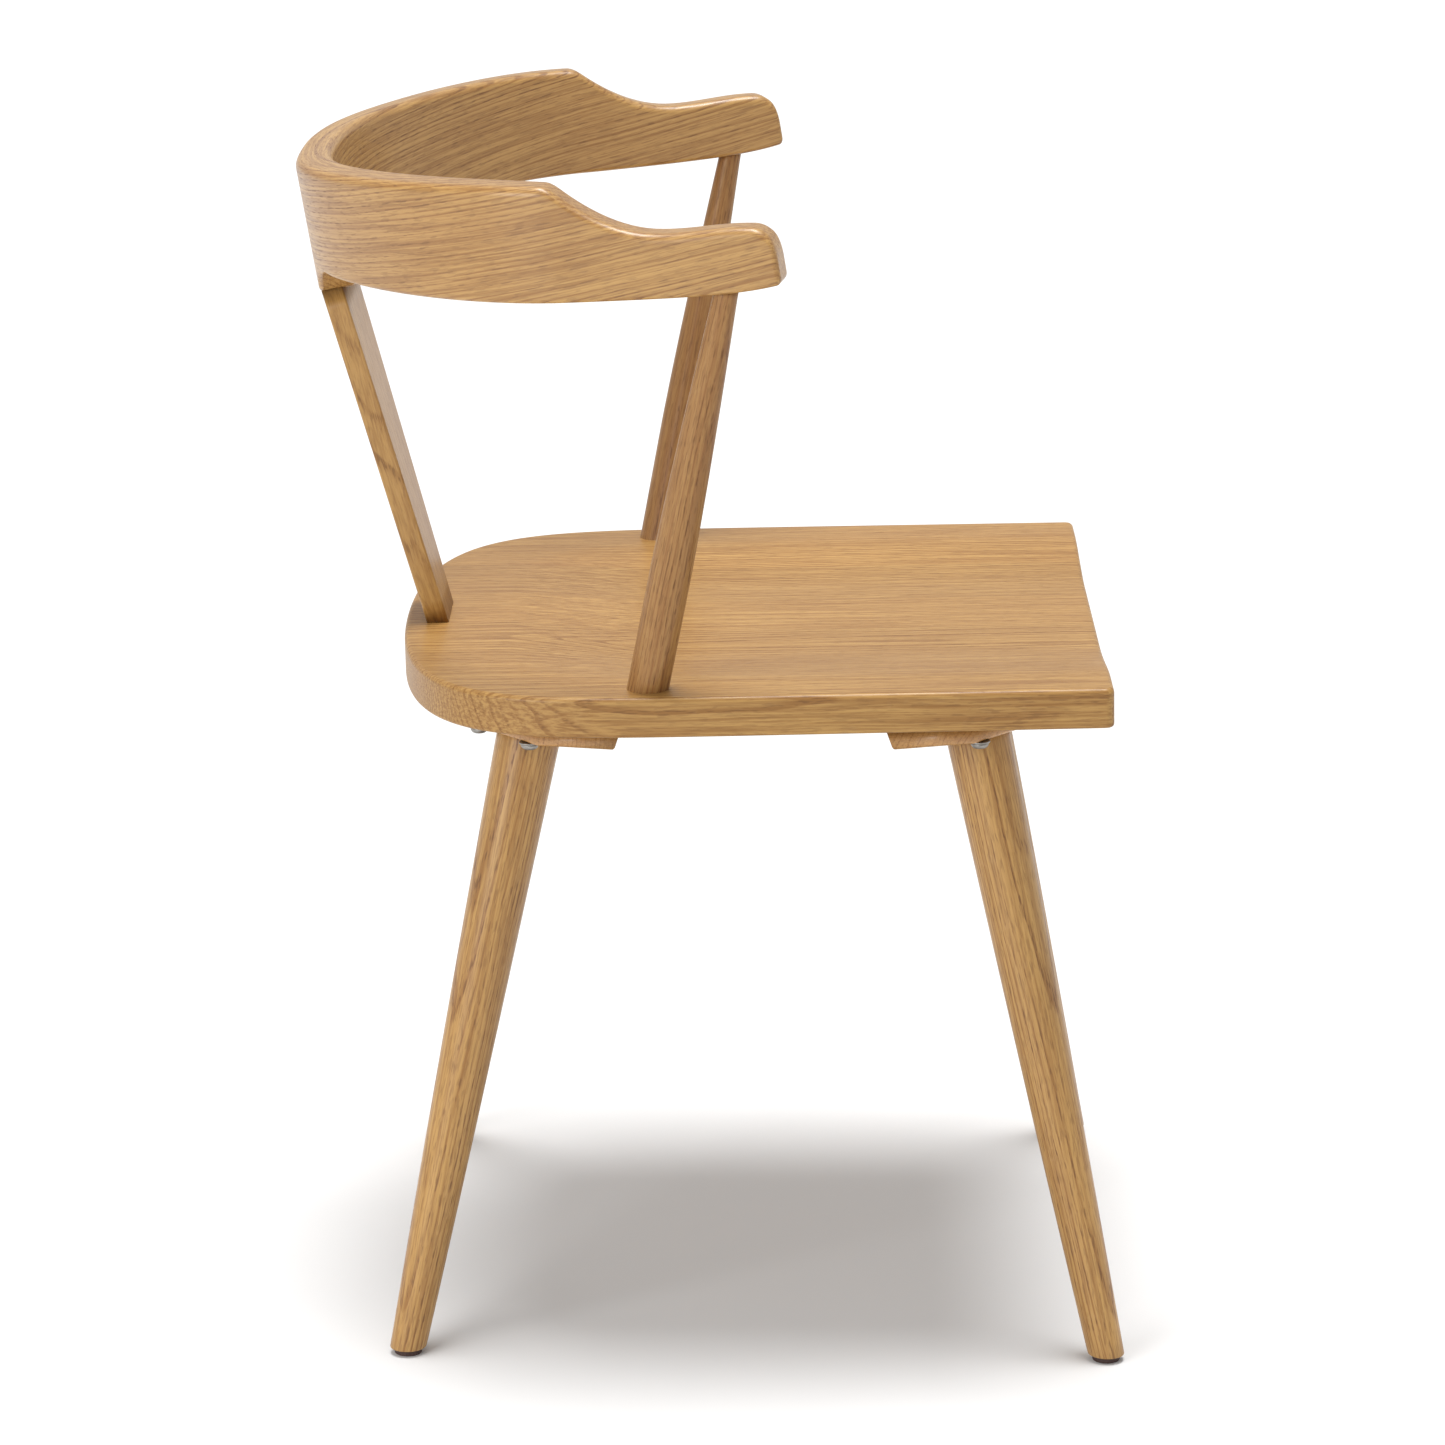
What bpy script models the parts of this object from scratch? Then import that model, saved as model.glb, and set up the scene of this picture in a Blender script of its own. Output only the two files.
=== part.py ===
"""A dining chair of solid oak, as separate pieces.

A scooped seat stands on four splayed round legs. Each leg is housed in a block that three screws
hold to the underside of the seat. One bent rail makes the back and both arms, and a flat splat and
two turned spindles carry it.

Metres, +Z up. The sitter faces -Y and has +X on the left. The origin is on the floor, under the
middle of the chair. A setback is a distance behind the front edge of the seat.
"""

import math

import bmesh
import bpy
from mathutils import Matrix, Vector
from mathutils.geometry import interpolate_bezier

# Fits
GAP = 0.0003  # between two pieces that touch
HOLE_OVERRUN = 0.002  # a hole's cutter passes an open end by this much
ORIGIN_SETBACK = 0.2565  # the chair's middle, behind the front edge of the seat

# Seat
SEAT_HEIGHT = 0.456  # top of the rim, at the front edge
SEAT_WIDTH = 0.483
SEAT_DEPTH = 0.4615
SEAT_THICKNESS = 0.026
SEAT_PITCH = math.radians(1.2)  # falls towards the back
SEAT_FRONT_TAPER = 0.0025  # each side draws in by this much at the front
SEAT_FRONT_CORNER = 0.006
SEAT_SIDE_RUN = 0.270  # straight side, before the back curve
SEAT_SIDE_PULL = 0.64  # of the curve's depth
SEAT_BACK_PULL = 0.965  # of half the width
SEAT_FRONT_HANDLE = 0.45  # of the corner: the handle length left over on a quarter round
SEAT_SIDE_EASE = 0.7  # of the straight side, where its rear handle starts
SEAT_ROUNDING = 0.0035
SCOOP_DEPTH = 0.009
SCOOP_RIM = 0.026  # flat rim left beside the scoop
SCOOP_SLOPE = 0.130  # width over which a side of the scoop falls
SCOOP_END_RIM = 0.045
SCOOP_END_SLOPE = 0.150
SCOOP_CLEAR = 0.0008  # the edges of its cutter stay above the rim
SCOOP_OVERRUN = 0.01  # its cutter runs past the front edge, and stands above the seat

# Rail
RAIL_RISE = 0.322  # its shoulders above the seat's front rim
RAIL_DATUM_DROP = 0.028  # the rail's plan is drawn this much below its shoulders
RAIL_THICKNESS = 0.025
RAIL_LEAN = math.radians(9.7)  # its faces lean back by this much
RAIL_ROUNDING = 0.0045
RAIL_SIDE_OVERHANG = 0.047  # its tips stand this far out from the sides of the seat
RAIL_BACK_OVERHANG = 0.0659  # its back stands this far behind the seat
RAIL_REACH = 0.3118  # from its back forward to its tips
RAIL_TIP_HALF_WIDTH = SEAT_WIDTH / 2 + RAIL_SIDE_OVERHANG
RAIL_ARM_LENGTH = 0.1385  # straight, from the tip to the shoulder
RAIL_ARM_TOE = math.radians(10.8)  # the arms open towards the tips
RAIL_BACK_SETBACK = SEAT_DEPTH + RAIL_BACK_OVERHANG
RAIL_TIP_SETBACK = RAIL_BACK_SETBACK - RAIL_REACH
RAIL_TURN_INSET = 0.1129  # where the side bend becomes the back bend, in from the tips
RAIL_TURN_HALF_WIDTH = RAIL_TIP_HALF_WIDTH - RAIL_TURN_INSET
RAIL_TURN_DEPTH = 0.0577  # that place, ahead of the back
RAIL_TURN_ANGLE = math.radians(37)
RAIL_SIDE_PULLS = (0.048, 0.043)
RAIL_BACK_PULLS = (0.077, 0.069)
RAIL_TOP_FALL = 0.0180  # the back's top edge, below the shoulders
RAIL_TOP_CROWN = 1.7
RAIL_DIP_FALL = 0.0268  # lowest place of the arm's top edge
RAIL_DIP_SPAN = 0.062  # from the dip back to the shoulder
RAIL_TIP_LIFT = 0.0058  # the arm's top edge rises again by this much
RAIL_TIP_CORNER = 0.014
RAIL_HEIGHT_AT_BACK = 0.0665
RAIL_LOWER_RISE = 0.0225  # the lower edge, from the back to the tip
RAIL_TIP_KICK = 0.0067
RAIL_TIP_KICK_RUN = 0.030
RAIL_SHOULDER_BLEND = 0.003
TONGUE_DROP = 0.0195
TONGUE_MARGIN = 0.0015  # the tongue is wider than the splat by this much each side
TONGUE_FLARE = 0.042

# Splat
SPLAT_TOP_WIDTH = 0.100
SPLAT_BASE_WIDTH = 0.060
SPLAT_THICKNESS = 0.0142
SPLAT_BASE_INSET = 0.0155  # its back face, ahead of the back edge of the seat
SPLAT_TOP_INSET = 0.0028  # its back face, ahead of the rail's outer face
SPLAT_ROUNDING = 0.0015
DOWEL_DIAMETER = 0.008
DOWEL_LENGTH = 0.026
DOWEL_SPACING_TOP = 0.056
DOWEL_SPACING_BASE = 0.032

# Arm spindles
SPINDLE_TOP_DIAMETER = 0.0150
SPINDLE_DIAMETER = 0.0265
SPINDLE_STRAIGHT = 0.085  # height above the seat where the taper starts
SPINDLE_SWELL = 0.6  # share of the taper that is rounded, not straight
SPINDLE_BASE_INSET = 0.026  # in from the side of the seat
SPINDLE_BASE_LEAD = 0.1668  # ahead of the back edge of the seat
SPINDLE_BASE_SETBACK = SEAT_DEPTH - SPINDLE_BASE_LEAD
SPINDLE_TOP_RUN = 0.038  # along the arm from the rail's tip
SPINDLE_SEAT_DEPTH = SEAT_THICKNESS / 2
SPINDLE_TENON_DIAMETER = 0.0105
SPINDLE_TENON_LENGTH = 0.015
SPINDLE_RAIL_HOUSING = 0.003

# Legs
LEG_TOP_DIAMETER = 0.0416
LEG_FOOT_DIAMETER = 0.0233
LEG_SWELL = 0.0007  # the middle of a leg is thicker than a straight taper by this much
LEG_HOUSING = 0.006  # the full round enters its block by this much
LEG_TENON_DIAMETER = 0.026
LEG_OVERRUN = 0.01  # turned past the floor by this much, before its foot is sawn level
LEG_TENON_COVER = 0.002  # wood left between the tenon and the seat
LEG_BACK_LEAD = 0.0880  # heads of the back legs, ahead of the back edge of the seat
LEGS = {
    # name: (inset of the head from the seat's side, setback of the head, foot outwards, foot back)
    "front": (0.0735, 0.0845, 0.0600, -0.0882),
    "back": (0.0905, SEAT_DEPTH - LEG_BACK_LEAD, 0.0670, 0.0818),
}
GLIDE_DIAMETER = 0.018
GLIDE_HEIGHT = 0.0038
GLIDE_CHAMFER = 0.0008
GLIDE_PIN_DIAMETER = 0.005
GLIDE_PIN_LENGTH = 0.011

# Leg blocks: their corners, outwards and back from the round of the leg's head
BLOCK_THICKNESS = 0.016
BLOCK_ROUNDING = 0.0015
BLOCKS = {
    "front": (
        (0.0393, 0.0449),
        (0.0212, 0.0010),
        (-0.0197, -0.0422),
        (-0.0426, -0.0165),
        (-0.0121, 0.0406),
    ),
    "back": (
        (0.0434, -0.0463),
        (0.0234, -0.0028),
        (-0.0199, 0.0352),
        (-0.0407, 0.0093),
        (-0.0083, -0.0411),
    ),
}

# Fasteners, three to a block: their places, outwards and back from the round of the leg's head
SCREWS = {
    "front": {
        "outer": (0.0113, -0.0003),
        "corner": (-0.0066, -0.0171),
        "inner": (0.0031, 0.0214),
    },
    "back": {
        "outer": (0.0105, -0.0003),
        "corner": (-0.0053, 0.0142),
        "inner": (0.0072, -0.0250),
    },
}
SCREW_DIAMETER = 0.006
SCREW_HEAD_DIAMETER = 0.0115
SCREW_HEAD_HEIGHT = 0.0034
SCREW_HEAD_RIM = 0.0015
SCREW_HEAD_CHAMFER = 0.0016
SCREW_SHORTFALL = 0.0015  # the screw ends below the top of its insert by this much
WASHER_DIAMETER = 0.0135
WASHER_THICKNESS = 0.0012
INSERT_DIAMETER = 0.0095
INSERT_HOLE_END = 0.001
INSERT_COVER = 0.0045  # wood left between its hole and the lowest place of the scoop
INSERT_LENGTH = SEAT_THICKNESS - SCOOP_DEPTH - INSERT_COVER - INSERT_HOLE_END

# Sides of the round pieces
LEG_SIDES = 24
LEG_RINGS = 3
SPINDLE_SIDES = 20
GLIDE_SIDES = 16
SMALL_SIDES = 12
RAIL_STEP = 0.015
RAIL_SAMPLES = 60  # points on each bend of its plan
SCOOP_CELLS = (18, 12)  # across and along
BOARD_MERGE = 0.00002  # points of a board's mesh this close are one

FINISHES = {
    # name: (colour, roughness, metallic)
    "oak": ((0.56, 0.34, 0.15), 0.42, 0.0),
    "oak_underside": ((0.36, 0.22, 0.10), 0.55, 0.0),
    "nickel": ((0.62, 0.60, 0.57), 0.30, 1.0),
    "zinc": ((0.55, 0.55, 0.52), 0.45, 1.0),
    "glide_plastic": ((0.045, 0.022, 0.018), 0.60, 0.0),
}


def clear_scene():
    for item in list(bpy.data.objects):
        bpy.data.objects.remove(item, do_unlink=True)


def new_collection(name):
    collection = bpy.data.collections.new(name)
    bpy.context.scene.collection.children.link(collection)
    return collection


def place(backward, x=0.0, z=0.0):
    """A point given by its setback."""
    return Vector((x, backward - ORIGIN_SETBACK, z))


def new_object(name, data, finish=None, matrix=None):
    """A part where a finish is named, or else a cutter."""
    item = bpy.data.objects.new(name, data)
    if matrix is not None:
        item.matrix_world = matrix
    if finish is None:
        item.hide_render = True
        item.display_type = "WIRE"
        cutters.objects.link(item)
        return item
    colour, roughness, metallic = FINISHES[finish]
    material = bpy.data.materials.new(name)
    material.use_nodes = True
    shader = material.node_tree.nodes["Principled BSDF"]
    shader.inputs["Base Color"].default_value = (*colour, 1.0)
    shader.inputs["Roughness"].default_value = roughness
    shader.inputs["Metallic"].default_value = metallic
    item.data.materials.append(material)
    parts.objects.link(item)
    return item


def cut(item, cutter):
    boolean = item.modifiers.new(cutter.name, "BOOLEAN")
    boolean.operation = "DIFFERENCE"
    boolean.object = cutter


def bevel(item, width, segments=2, angle=math.radians(50)):
    modifier = item.modifiers.new("rounding", "BEVEL")
    modifier.width = width
    modifier.segments = segments
    modifier.limit_method = "ANGLE"
    modifier.angle_limit = angle


def mesh_from(builder, name):
    data = bpy.data.meshes.new(name)
    builder.to_mesh(data)
    builder.free()
    return data


def along(start, end):
    """The frame at start whose Z axis points to end."""
    direction = (end - start).normalized()
    return Matrix.Translation(start) @ direction.to_track_quat("Z", "Y").to_matrix().to_4x4()


def turned(name, profile, sides, matrix, finish=None):
    """A turned piece: the profile's (radius, height) points run from the top down to the bottom."""
    data = bpy.data.meshes.new(name)
    points = [(radius, 0.0, height) for radius, height in profile]
    data.from_pydata(points, [(i, i + 1) for i in range(len(points) - 1)], [])
    item = new_object(name, data, finish, matrix)
    screw = item.modifiers.new("turning", "SCREW")
    screw.axis = "Z"
    screw.steps = sides
    screw.render_steps = sides
    screw.use_merge_vertices = True
    screw.merge_threshold = 0.0001
    screw.use_smooth_shade = True
    return item


def rod(name, diameter, bottom, top, sides, matrix, finish=None):
    radius = diameter / 2
    return turned(name, [(0, top), (radius, top), (radius, bottom), (0, bottom)], sides, matrix, finish)


def box(name, low, high, matrix=None, finish=None):
    builder = bmesh.new()
    bmesh.ops.create_cube(builder, size=1.0)
    for vertex in builder.verts:
        vertex.co = Vector(
            (low[i] + (vertex.co[i] + 0.5) * (high[i] - low[i]) for i in range(3))
        )
    return new_object(name, mesh_from(builder, name), finish, matrix)


def smooth(value):
    """0 below 0, 1 above 1, with a soft step between them."""
    value = min(max(value, 0.0), 1.0)
    return value * value * (3.0 - 2.0 * value)


def board(name, corners, thickness, rounding, matrix, finish, steps=8):
    """A flat piece with its top face at 0: corners are (point, left handle, right handle).

    An edge is one straight line where the handles at both its ends lie on the corners themselves.
    """
    curve = bpy.data.curves.new(name, "CURVE")
    curve.dimensions = "2D"
    curve.fill_mode = "BOTH"
    curve.extrude = thickness / 2 - rounding
    curve.bevel_depth = rounding
    curve.bevel_resolution = 1
    curve.offset = -rounding
    curve.resolution_u = steps
    spline = curve.splines.new("BEZIER")
    spline.bezier_points.add(len(corners) - 1)
    spline.use_cyclic_u = True
    for point, (centre, left, right) in zip(spline.bezier_points, corners):
        point.co = (*centre, 0.0)
        point.handle_left = (*left, 0.0)
        point.handle_right = (*right, 0.0)
        if left == centre:
            point.handle_left_type = "VECTOR"
        if right == centre:
            point.handle_right_type = "VECTOR"
    outline = new_object(name + "_outline", curve)
    bpy.context.view_layer.update()
    evaluated = outline.evaluated_get(bpy.context.evaluated_depsgraph_get())
    data = bpy.data.meshes.new_from_object(evaluated)
    bpy.data.objects.remove(outline, do_unlink=True)
    builder = bmesh.new()
    builder.from_mesh(data)
    bmesh.ops.remove_doubles(builder, verts=builder.verts, dist=BOARD_MERGE)
    bmesh.ops.translate(builder, verts=builder.verts, vec=(0.0, 0.0, -thickness / 2))
    bmesh.ops.recalc_face_normals(builder, faces=builder.faces)
    builder.to_mesh(data)
    builder.free()
    data.name = name
    data.materials.clear()
    return new_object(name, data, finish, matrix)


def straight(points):
    """Board corners joined by straight lines."""
    return [(point, point, point) for point in points]


# Seat

SEAT_FRAME = Matrix.Translation(place(0.0, z=SEAT_HEIGHT)) @ Matrix.Rotation(-SEAT_PITCH, 4, "X")


def seat_height(setback, below=0.0):
    """Height of the rim's plane, or of a plane below it, at a setback."""
    return SEAT_HEIGHT - setback * math.tan(SEAT_PITCH) - below / math.cos(SEAT_PITCH)


def seat_outline():
    half = SEAT_WIDTH / 2
    front = half - SEAT_FRONT_TAPER
    corner = SEAT_FRONT_CORNER
    arc = corner * SEAT_FRONT_HANDLE
    turn = SEAT_SIDE_RUN + (SEAT_DEPTH - SEAT_SIDE_RUN) * SEAT_SIDE_PULL
    pull = half * SEAT_BACK_PULL
    right = [
        ((front - corner, 0.0), (front - corner, 0.0), (front - arc, 0.0)),
        ((front, corner), (front, arc), (front + SEAT_FRONT_TAPER / 2, SEAT_SIDE_RUN / 2)),
        ((half, SEAT_SIDE_RUN), (half, SEAT_SIDE_RUN * SEAT_SIDE_EASE), (half, turn)),
    ]
    back = [((0.0, SEAT_DEPTH), (pull, SEAT_DEPTH), (-pull, SEAT_DEPTH))]
    left = []
    for centre, before, after in reversed(right):
        left.append(tuple((-x, y) for x, y in (centre, after, before)))
    return right + back + left


def scoop_cutter():
    """A block whose lower face has the shape of the scoop, open at the front."""
    half = SEAT_WIDTH / 2 - SCOOP_RIM
    end = SEAT_DEPTH - SCOOP_END_RIM
    builder = bmesh.new()
    bmesh.ops.create_grid(builder, x_segments=SCOOP_CELLS[0], y_segments=SCOOP_CELLS[1], size=0.5)
    for vertex in builder.verts:
        x = vertex.co.x * 2 * half
        y = (vertex.co.y + 0.5) * (end + SCOOP_OVERRUN) - SCOOP_OVERRUN
        weight = smooth((half - abs(x)) / SCOOP_SLOPE) * smooth((end - y) / SCOOP_END_SLOPE)
        vertex.co = (x, y, SCOOP_CLEAR - (SCOOP_DEPTH + SCOOP_CLEAR) * weight)
    floor = list(builder.faces)
    top = bmesh.ops.extrude_face_region(builder, geom=floor)["geom"]
    raised = [item for item in top if isinstance(item, bmesh.types.BMVert)]
    for vertex in raised:
        vertex.co.z = SCOOP_CLEAR + SCOOP_OVERRUN
    bmesh.ops.recalc_face_normals(builder, faces=builder.faces)
    return new_object("scoop", mesh_from(builder, "scoop"), matrix=SEAT_FRAME)


def make_seat():
    seat = board("seat", seat_outline(), SEAT_THICKNESS, SEAT_ROUNDING, SEAT_FRAME, "oak")
    cut(seat, scoop_cutter())
    return seat


# Rail

RAIL_DATUM = SEAT_HEIGHT + RAIL_RISE - RAIL_DATUM_DROP


def rail_plan():
    """The outer face seen from above at the datum, (half width, setback), from the tip to the back."""
    tip = Vector((RAIL_TIP_HALF_WIDTH, RAIL_TIP_SETBACK))
    toe = Vector((-math.sin(RAIL_ARM_TOE), math.cos(RAIL_ARM_TOE)))
    shoulder = tip + toe * RAIL_ARM_LENGTH
    turn = Vector((RAIL_TURN_HALF_WIDTH, RAIL_BACK_SETBACK - RAIL_TURN_DEPTH))
    heading = Vector((-math.cos(RAIL_TURN_ANGLE), math.sin(RAIL_TURN_ANGLE)))
    back = Vector((0.0, RAIL_BACK_SETBACK))
    side_handles = shoulder + toe * RAIL_SIDE_PULLS[0], turn - heading * RAIL_SIDE_PULLS[1]
    rear_handles = turn + heading * RAIL_BACK_PULLS[0], back + Vector((RAIL_BACK_PULLS[1], 0.0))
    side = interpolate_bezier(shoulder, *side_handles, turn, RAIL_SAMPLES)
    rear = interpolate_bezier(turn, *rear_handles, back, RAIL_SAMPLES)
    return [tip] + [point.to_2d() for point in side + rear[1:]]


def walk(points, distances):
    """The points at these distances along a line of points, with the heading at each."""
    found = []
    for distance in distances:
        left = distance
        for a, b in zip(points, points[1:]):
            length = (b - a).length
            if left <= length or b is points[-1]:
                break
            left -= length
        found.append((a + (b - a) * (left / length), (b - a).normalized()))
    return found


RAIL_LINE = rail_plan()
RAIL_RUN = sum((b - a).length for a, b in zip(RAIL_LINE, RAIL_LINE[1:]))


def soft_least(a, b, blend):
    """The smaller of two heights, rounded where they cross."""
    mix = max(blend - abs(a - b), 0.0) / blend
    return min(a, b) - mix * mix * blend / 4


def rail_top(run, half_width):
    shoulder = SEAT_HEIGHT + RAIL_RISE
    dip = shoulder - RAIL_DIP_FALL
    crown = min(abs(half_width) / RAIL_LINE[1].x, 1.0) ** RAIL_TOP_CROWN
    ridge = shoulder - RAIL_TOP_FALL * (1.0 - crown)
    dip_run = RAIL_ARM_LENGTH - RAIL_DIP_SPAN
    if run > dip_run:
        climb = dip + RAIL_DIP_FALL * ((run - dip_run) / RAIL_DIP_SPAN) ** 2
        return soft_least(climb, ridge, RAIL_SHOULDER_BLEND)
    height = dip + RAIL_TIP_LIFT * smooth((dip_run - run) / (dip_run - RAIL_TIP_CORNER))
    if run < RAIL_TIP_CORNER:
        short = RAIL_TIP_CORNER - run
        height -= RAIL_TIP_CORNER - math.sqrt(RAIL_TIP_CORNER**2 - short**2)
    return height


RAIL_BACK_LOWER = rail_top(RAIL_RUN, 0.0) - RAIL_HEIGHT_AT_BACK
TONGUE_HALF_WIDTH = SPLAT_TOP_WIDTH / 2 + TONGUE_MARGIN
TONGUE_LOWER = RAIL_BACK_LOWER - TONGUE_DROP


def rail_lower(run, half_width, setback):
    reach = (RAIL_BACK_SETBACK - setback) / (RAIL_BACK_SETBACK - RAIL_TIP_SETBACK)
    height = RAIL_BACK_LOWER + RAIL_LOWER_RISE * reach + RAIL_TIP_KICK * math.exp(-run / RAIL_TIP_KICK_RUN)
    spread = min(max((TONGUE_HALF_WIDTH + TONGUE_FLARE - half_width) / TONGUE_FLARE, 0.0), 1.0)
    bow = (RAIL_BACK_SETBACK - setback) * math.sin(RAIL_LEAN) * math.cos(RAIL_LEAN)
    return height + (TONGUE_LOWER + bow - height) * spread**2  # the tongue's end is one flat face


def rail_point(point, height, side=1):
    """A point of the rail's faces: its place at the datum, carried along the lean to a height."""
    return place(point.y + (height - RAIL_DATUM) * math.tan(RAIL_LEAN), side * point.x, height)


def rail_runs():
    """Distances from the tip where the rail has a column: close together at the corners."""
    corner = [RAIL_TIP_CORNER * (1 - math.cos(i * math.pi / 10)) for i in range(5)]
    count = math.ceil((RAIL_RUN - RAIL_TIP_CORNER) / RAIL_STEP)
    plain = [RAIL_TIP_CORNER + (RAIL_RUN - RAIL_TIP_CORNER) * i / count for i in range(count + 1)]
    shoulder = [RAIL_ARM_LENGTH + RAIL_STEP * i / 3 for i in (-4, -2, -1, 0, 1, 2)]
    flare = [RAIL_RUN - TONGUE_HALF_WIDTH - TONGUE_FLARE * i / 6 for i in range(7)]
    runs = sorted(corner + plain + shoulder + flare)
    kept = [runs[0]]
    for run in runs[1:]:
        if run - kept[-1] > RAIL_TIP_CORNER / 20:
            kept.append(run)
    kept[-1] = RAIL_RUN
    return kept


def make_rail():
    """Half of the outer face as a strip of leaning columns, mirrored, thickened inwards and rounded."""
    builder = bmesh.new()
    columns = []
    runs = rail_runs()
    for run, (point, _) in zip(runs, walk(RAIL_LINE, runs)):
        heights = rail_lower(run, point.x, point.y), rail_top(run, point.x)
        columns.append([builder.verts.new(rail_point(point, height)) for height in heights])
    for vertex in columns[-1]:
        vertex.co.x = 0.0
    for near, far in zip(columns, columns[1:]):
        builder.faces.new((near[0], far[0], far[1], near[1]))
    rail = new_object("back_rail", mesh_from(builder, "back_rail"), "oak")
    mirror = rail.modifiers.new("other_arm", "MIRROR")
    mirror.use_axis = (True, False, False)
    mirror.merge_threshold = 0.0001
    shell = rail.modifiers.new("thickness", "SOLIDIFY")
    shell.thickness = RAIL_THICKNESS
    shell.offset = -1.0
    shell.use_even_offset = True
    bevel(rail, RAIL_ROUNDING)
    return rail


# Splat

def make_splat(seat, rail):
    """A leaning keystone board, pinned by dowels to the seat below and to the rail's tongue above."""
    lean = math.tan(RAIL_LEAN)
    outer = RAIL_BACK_SETBACK + (TONGUE_LOWER - RAIL_DATUM) * lean
    base_back = SEAT_DEPTH - SPLAT_BASE_INSET
    top_back = outer - SPLAT_TOP_INSET
    rise = TONGUE_LOWER - seat_height(base_back)
    slope = (top_back - base_back) / rise
    depth = SPLAT_THICKNESS * math.sqrt(1 + slope * slope)

    def corner(across, forward, upper):
        if not upper:
            setback = base_back - forward * depth
            half = SPLAT_BASE_WIDTH / 2
            return place(setback, across * half, seat_height(setback) + GAP)
        setback = top_back - forward * depth
        half = SPLAT_TOP_WIDTH / 2
        return place(setback, across * half, TONGUE_LOWER + (outer - setback) * lean - GAP)

    builder = bmesh.new()
    bmesh.ops.create_cube(builder, size=2.0)
    for vertex in builder.verts:
        vertex.co = corner(vertex.co.x, (1 - vertex.co.y) / 2, vertex.co.z > 0)
    splat = new_object("back_splat", mesh_from(builder, "back_splat"), "oak")
    bevel(splat, SPLAT_ROUNDING)

    middle_base = (corner(0, 0, False) + corner(0, 1, False)) / 2
    middle_top = (corner(0, 0, True) + corner(0, 1, True)) / 2
    ends = (
        ("base", middle_base, middle_top, DOWEL_SPACING_BASE, (seat, splat)),
        ("top", middle_top, middle_base, DOWEL_SPACING_TOP, (rail, splat)),
    )
    for end, here, there, spacing, joined in ends:
        for side, sign in (("left", 1), ("right", -1)):
            offset = Vector((sign * spacing / 2, 0.0, 0.0))
            matrix = along(here + offset, there + offset)
            half = DOWEL_LENGTH / 2
            name = f"splat_dowel_{end}_{side}"
            rod(name, DOWEL_DIAMETER, -half, half, SMALL_SIDES, matrix, "oak")
            hole = rod(
                name + "_hole", DOWEL_DIAMETER + 2 * GAP, -half - GAP, half + GAP, SMALL_SIDES, matrix
            )
            for piece in joined:
                cut(piece, hole)
    return splat


# Spindles

def spindle_profile(length, extra=0.0):
    """Top to bottom, measured from the top of the seat; extra widens it into its own socket."""
    top = SPINDLE_TOP_DIAMETER / 2 + extra
    full = SPINDLE_DIAMETER / 2 + extra
    tenon = SPINDLE_TENON_DIAMETER / 2 + extra
    shoulder = length + SPINDLE_RAIL_HOUSING
    profile = [
        (0.0, shoulder + SPINDLE_TENON_LENGTH + extra),
        (tenon, shoulder + SPINDLE_TENON_LENGTH + extra),
        (tenon, shoulder + extra),
        (top, shoulder + extra),
    ]
    steps = 6
    for i in range(steps + 1):
        part = i / steps
        height = length + (SPINDLE_STRAIGHT - length) * part
        swell = math.sin(part * math.pi / 2) * SPINDLE_SWELL + part * (1 - SPINDLE_SWELL)
        profile.append((top + (full - top) * swell, height))
    return profile + [(full, -SPINDLE_SEAT_DEPTH - extra), (0.0, -SPINDLE_SEAT_DEPTH - extra)]


def make_spindles(seat, rail):
    point, heading = walk(RAIL_LINE, [SPINDLE_TOP_RUN])[0]
    height = rail_lower(SPINDLE_TOP_RUN, point.x, point.y)
    middle = point + Vector((-heading.y, heading.x)) * RAIL_THICKNESS / 2
    for side, sign in (("left", 1), ("right", -1)):
        base = place(
            SPINDLE_BASE_SETBACK,
            sign * (SEAT_WIDTH / 2 - SPINDLE_BASE_INSET),
            seat_height(SPINDLE_BASE_SETBACK),
        )
        top = rail_point(middle, height, sign)
        matrix = along(base, top)
        length = (top - base).length
        name = f"arm_spindle_{side}"
        turned(name, spindle_profile(length), SPINDLE_SIDES, matrix, "oak")
        socket = turned(name + "_socket", spindle_profile(length, GAP), SPINDLE_SIDES, matrix)
        cut(seat, socket)
        cut(rail, socket)


# Legs, their blocks and the fasteners

def seat_point(x, y, below):
    """A point under the seat, in the seat's own tilted frame."""
    return SEAT_FRAME @ Vector((x, y, -below))


def from_leg(head, sign, offset):
    """A place on the seat's underside, given outwards and back from the round of a leg's head."""
    offset = Vector(offset)
    offset += offset.normalized() * LEG_TOP_DIAMETER / 2
    return head.x + sign * offset.x, head.y + offset.y


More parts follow.
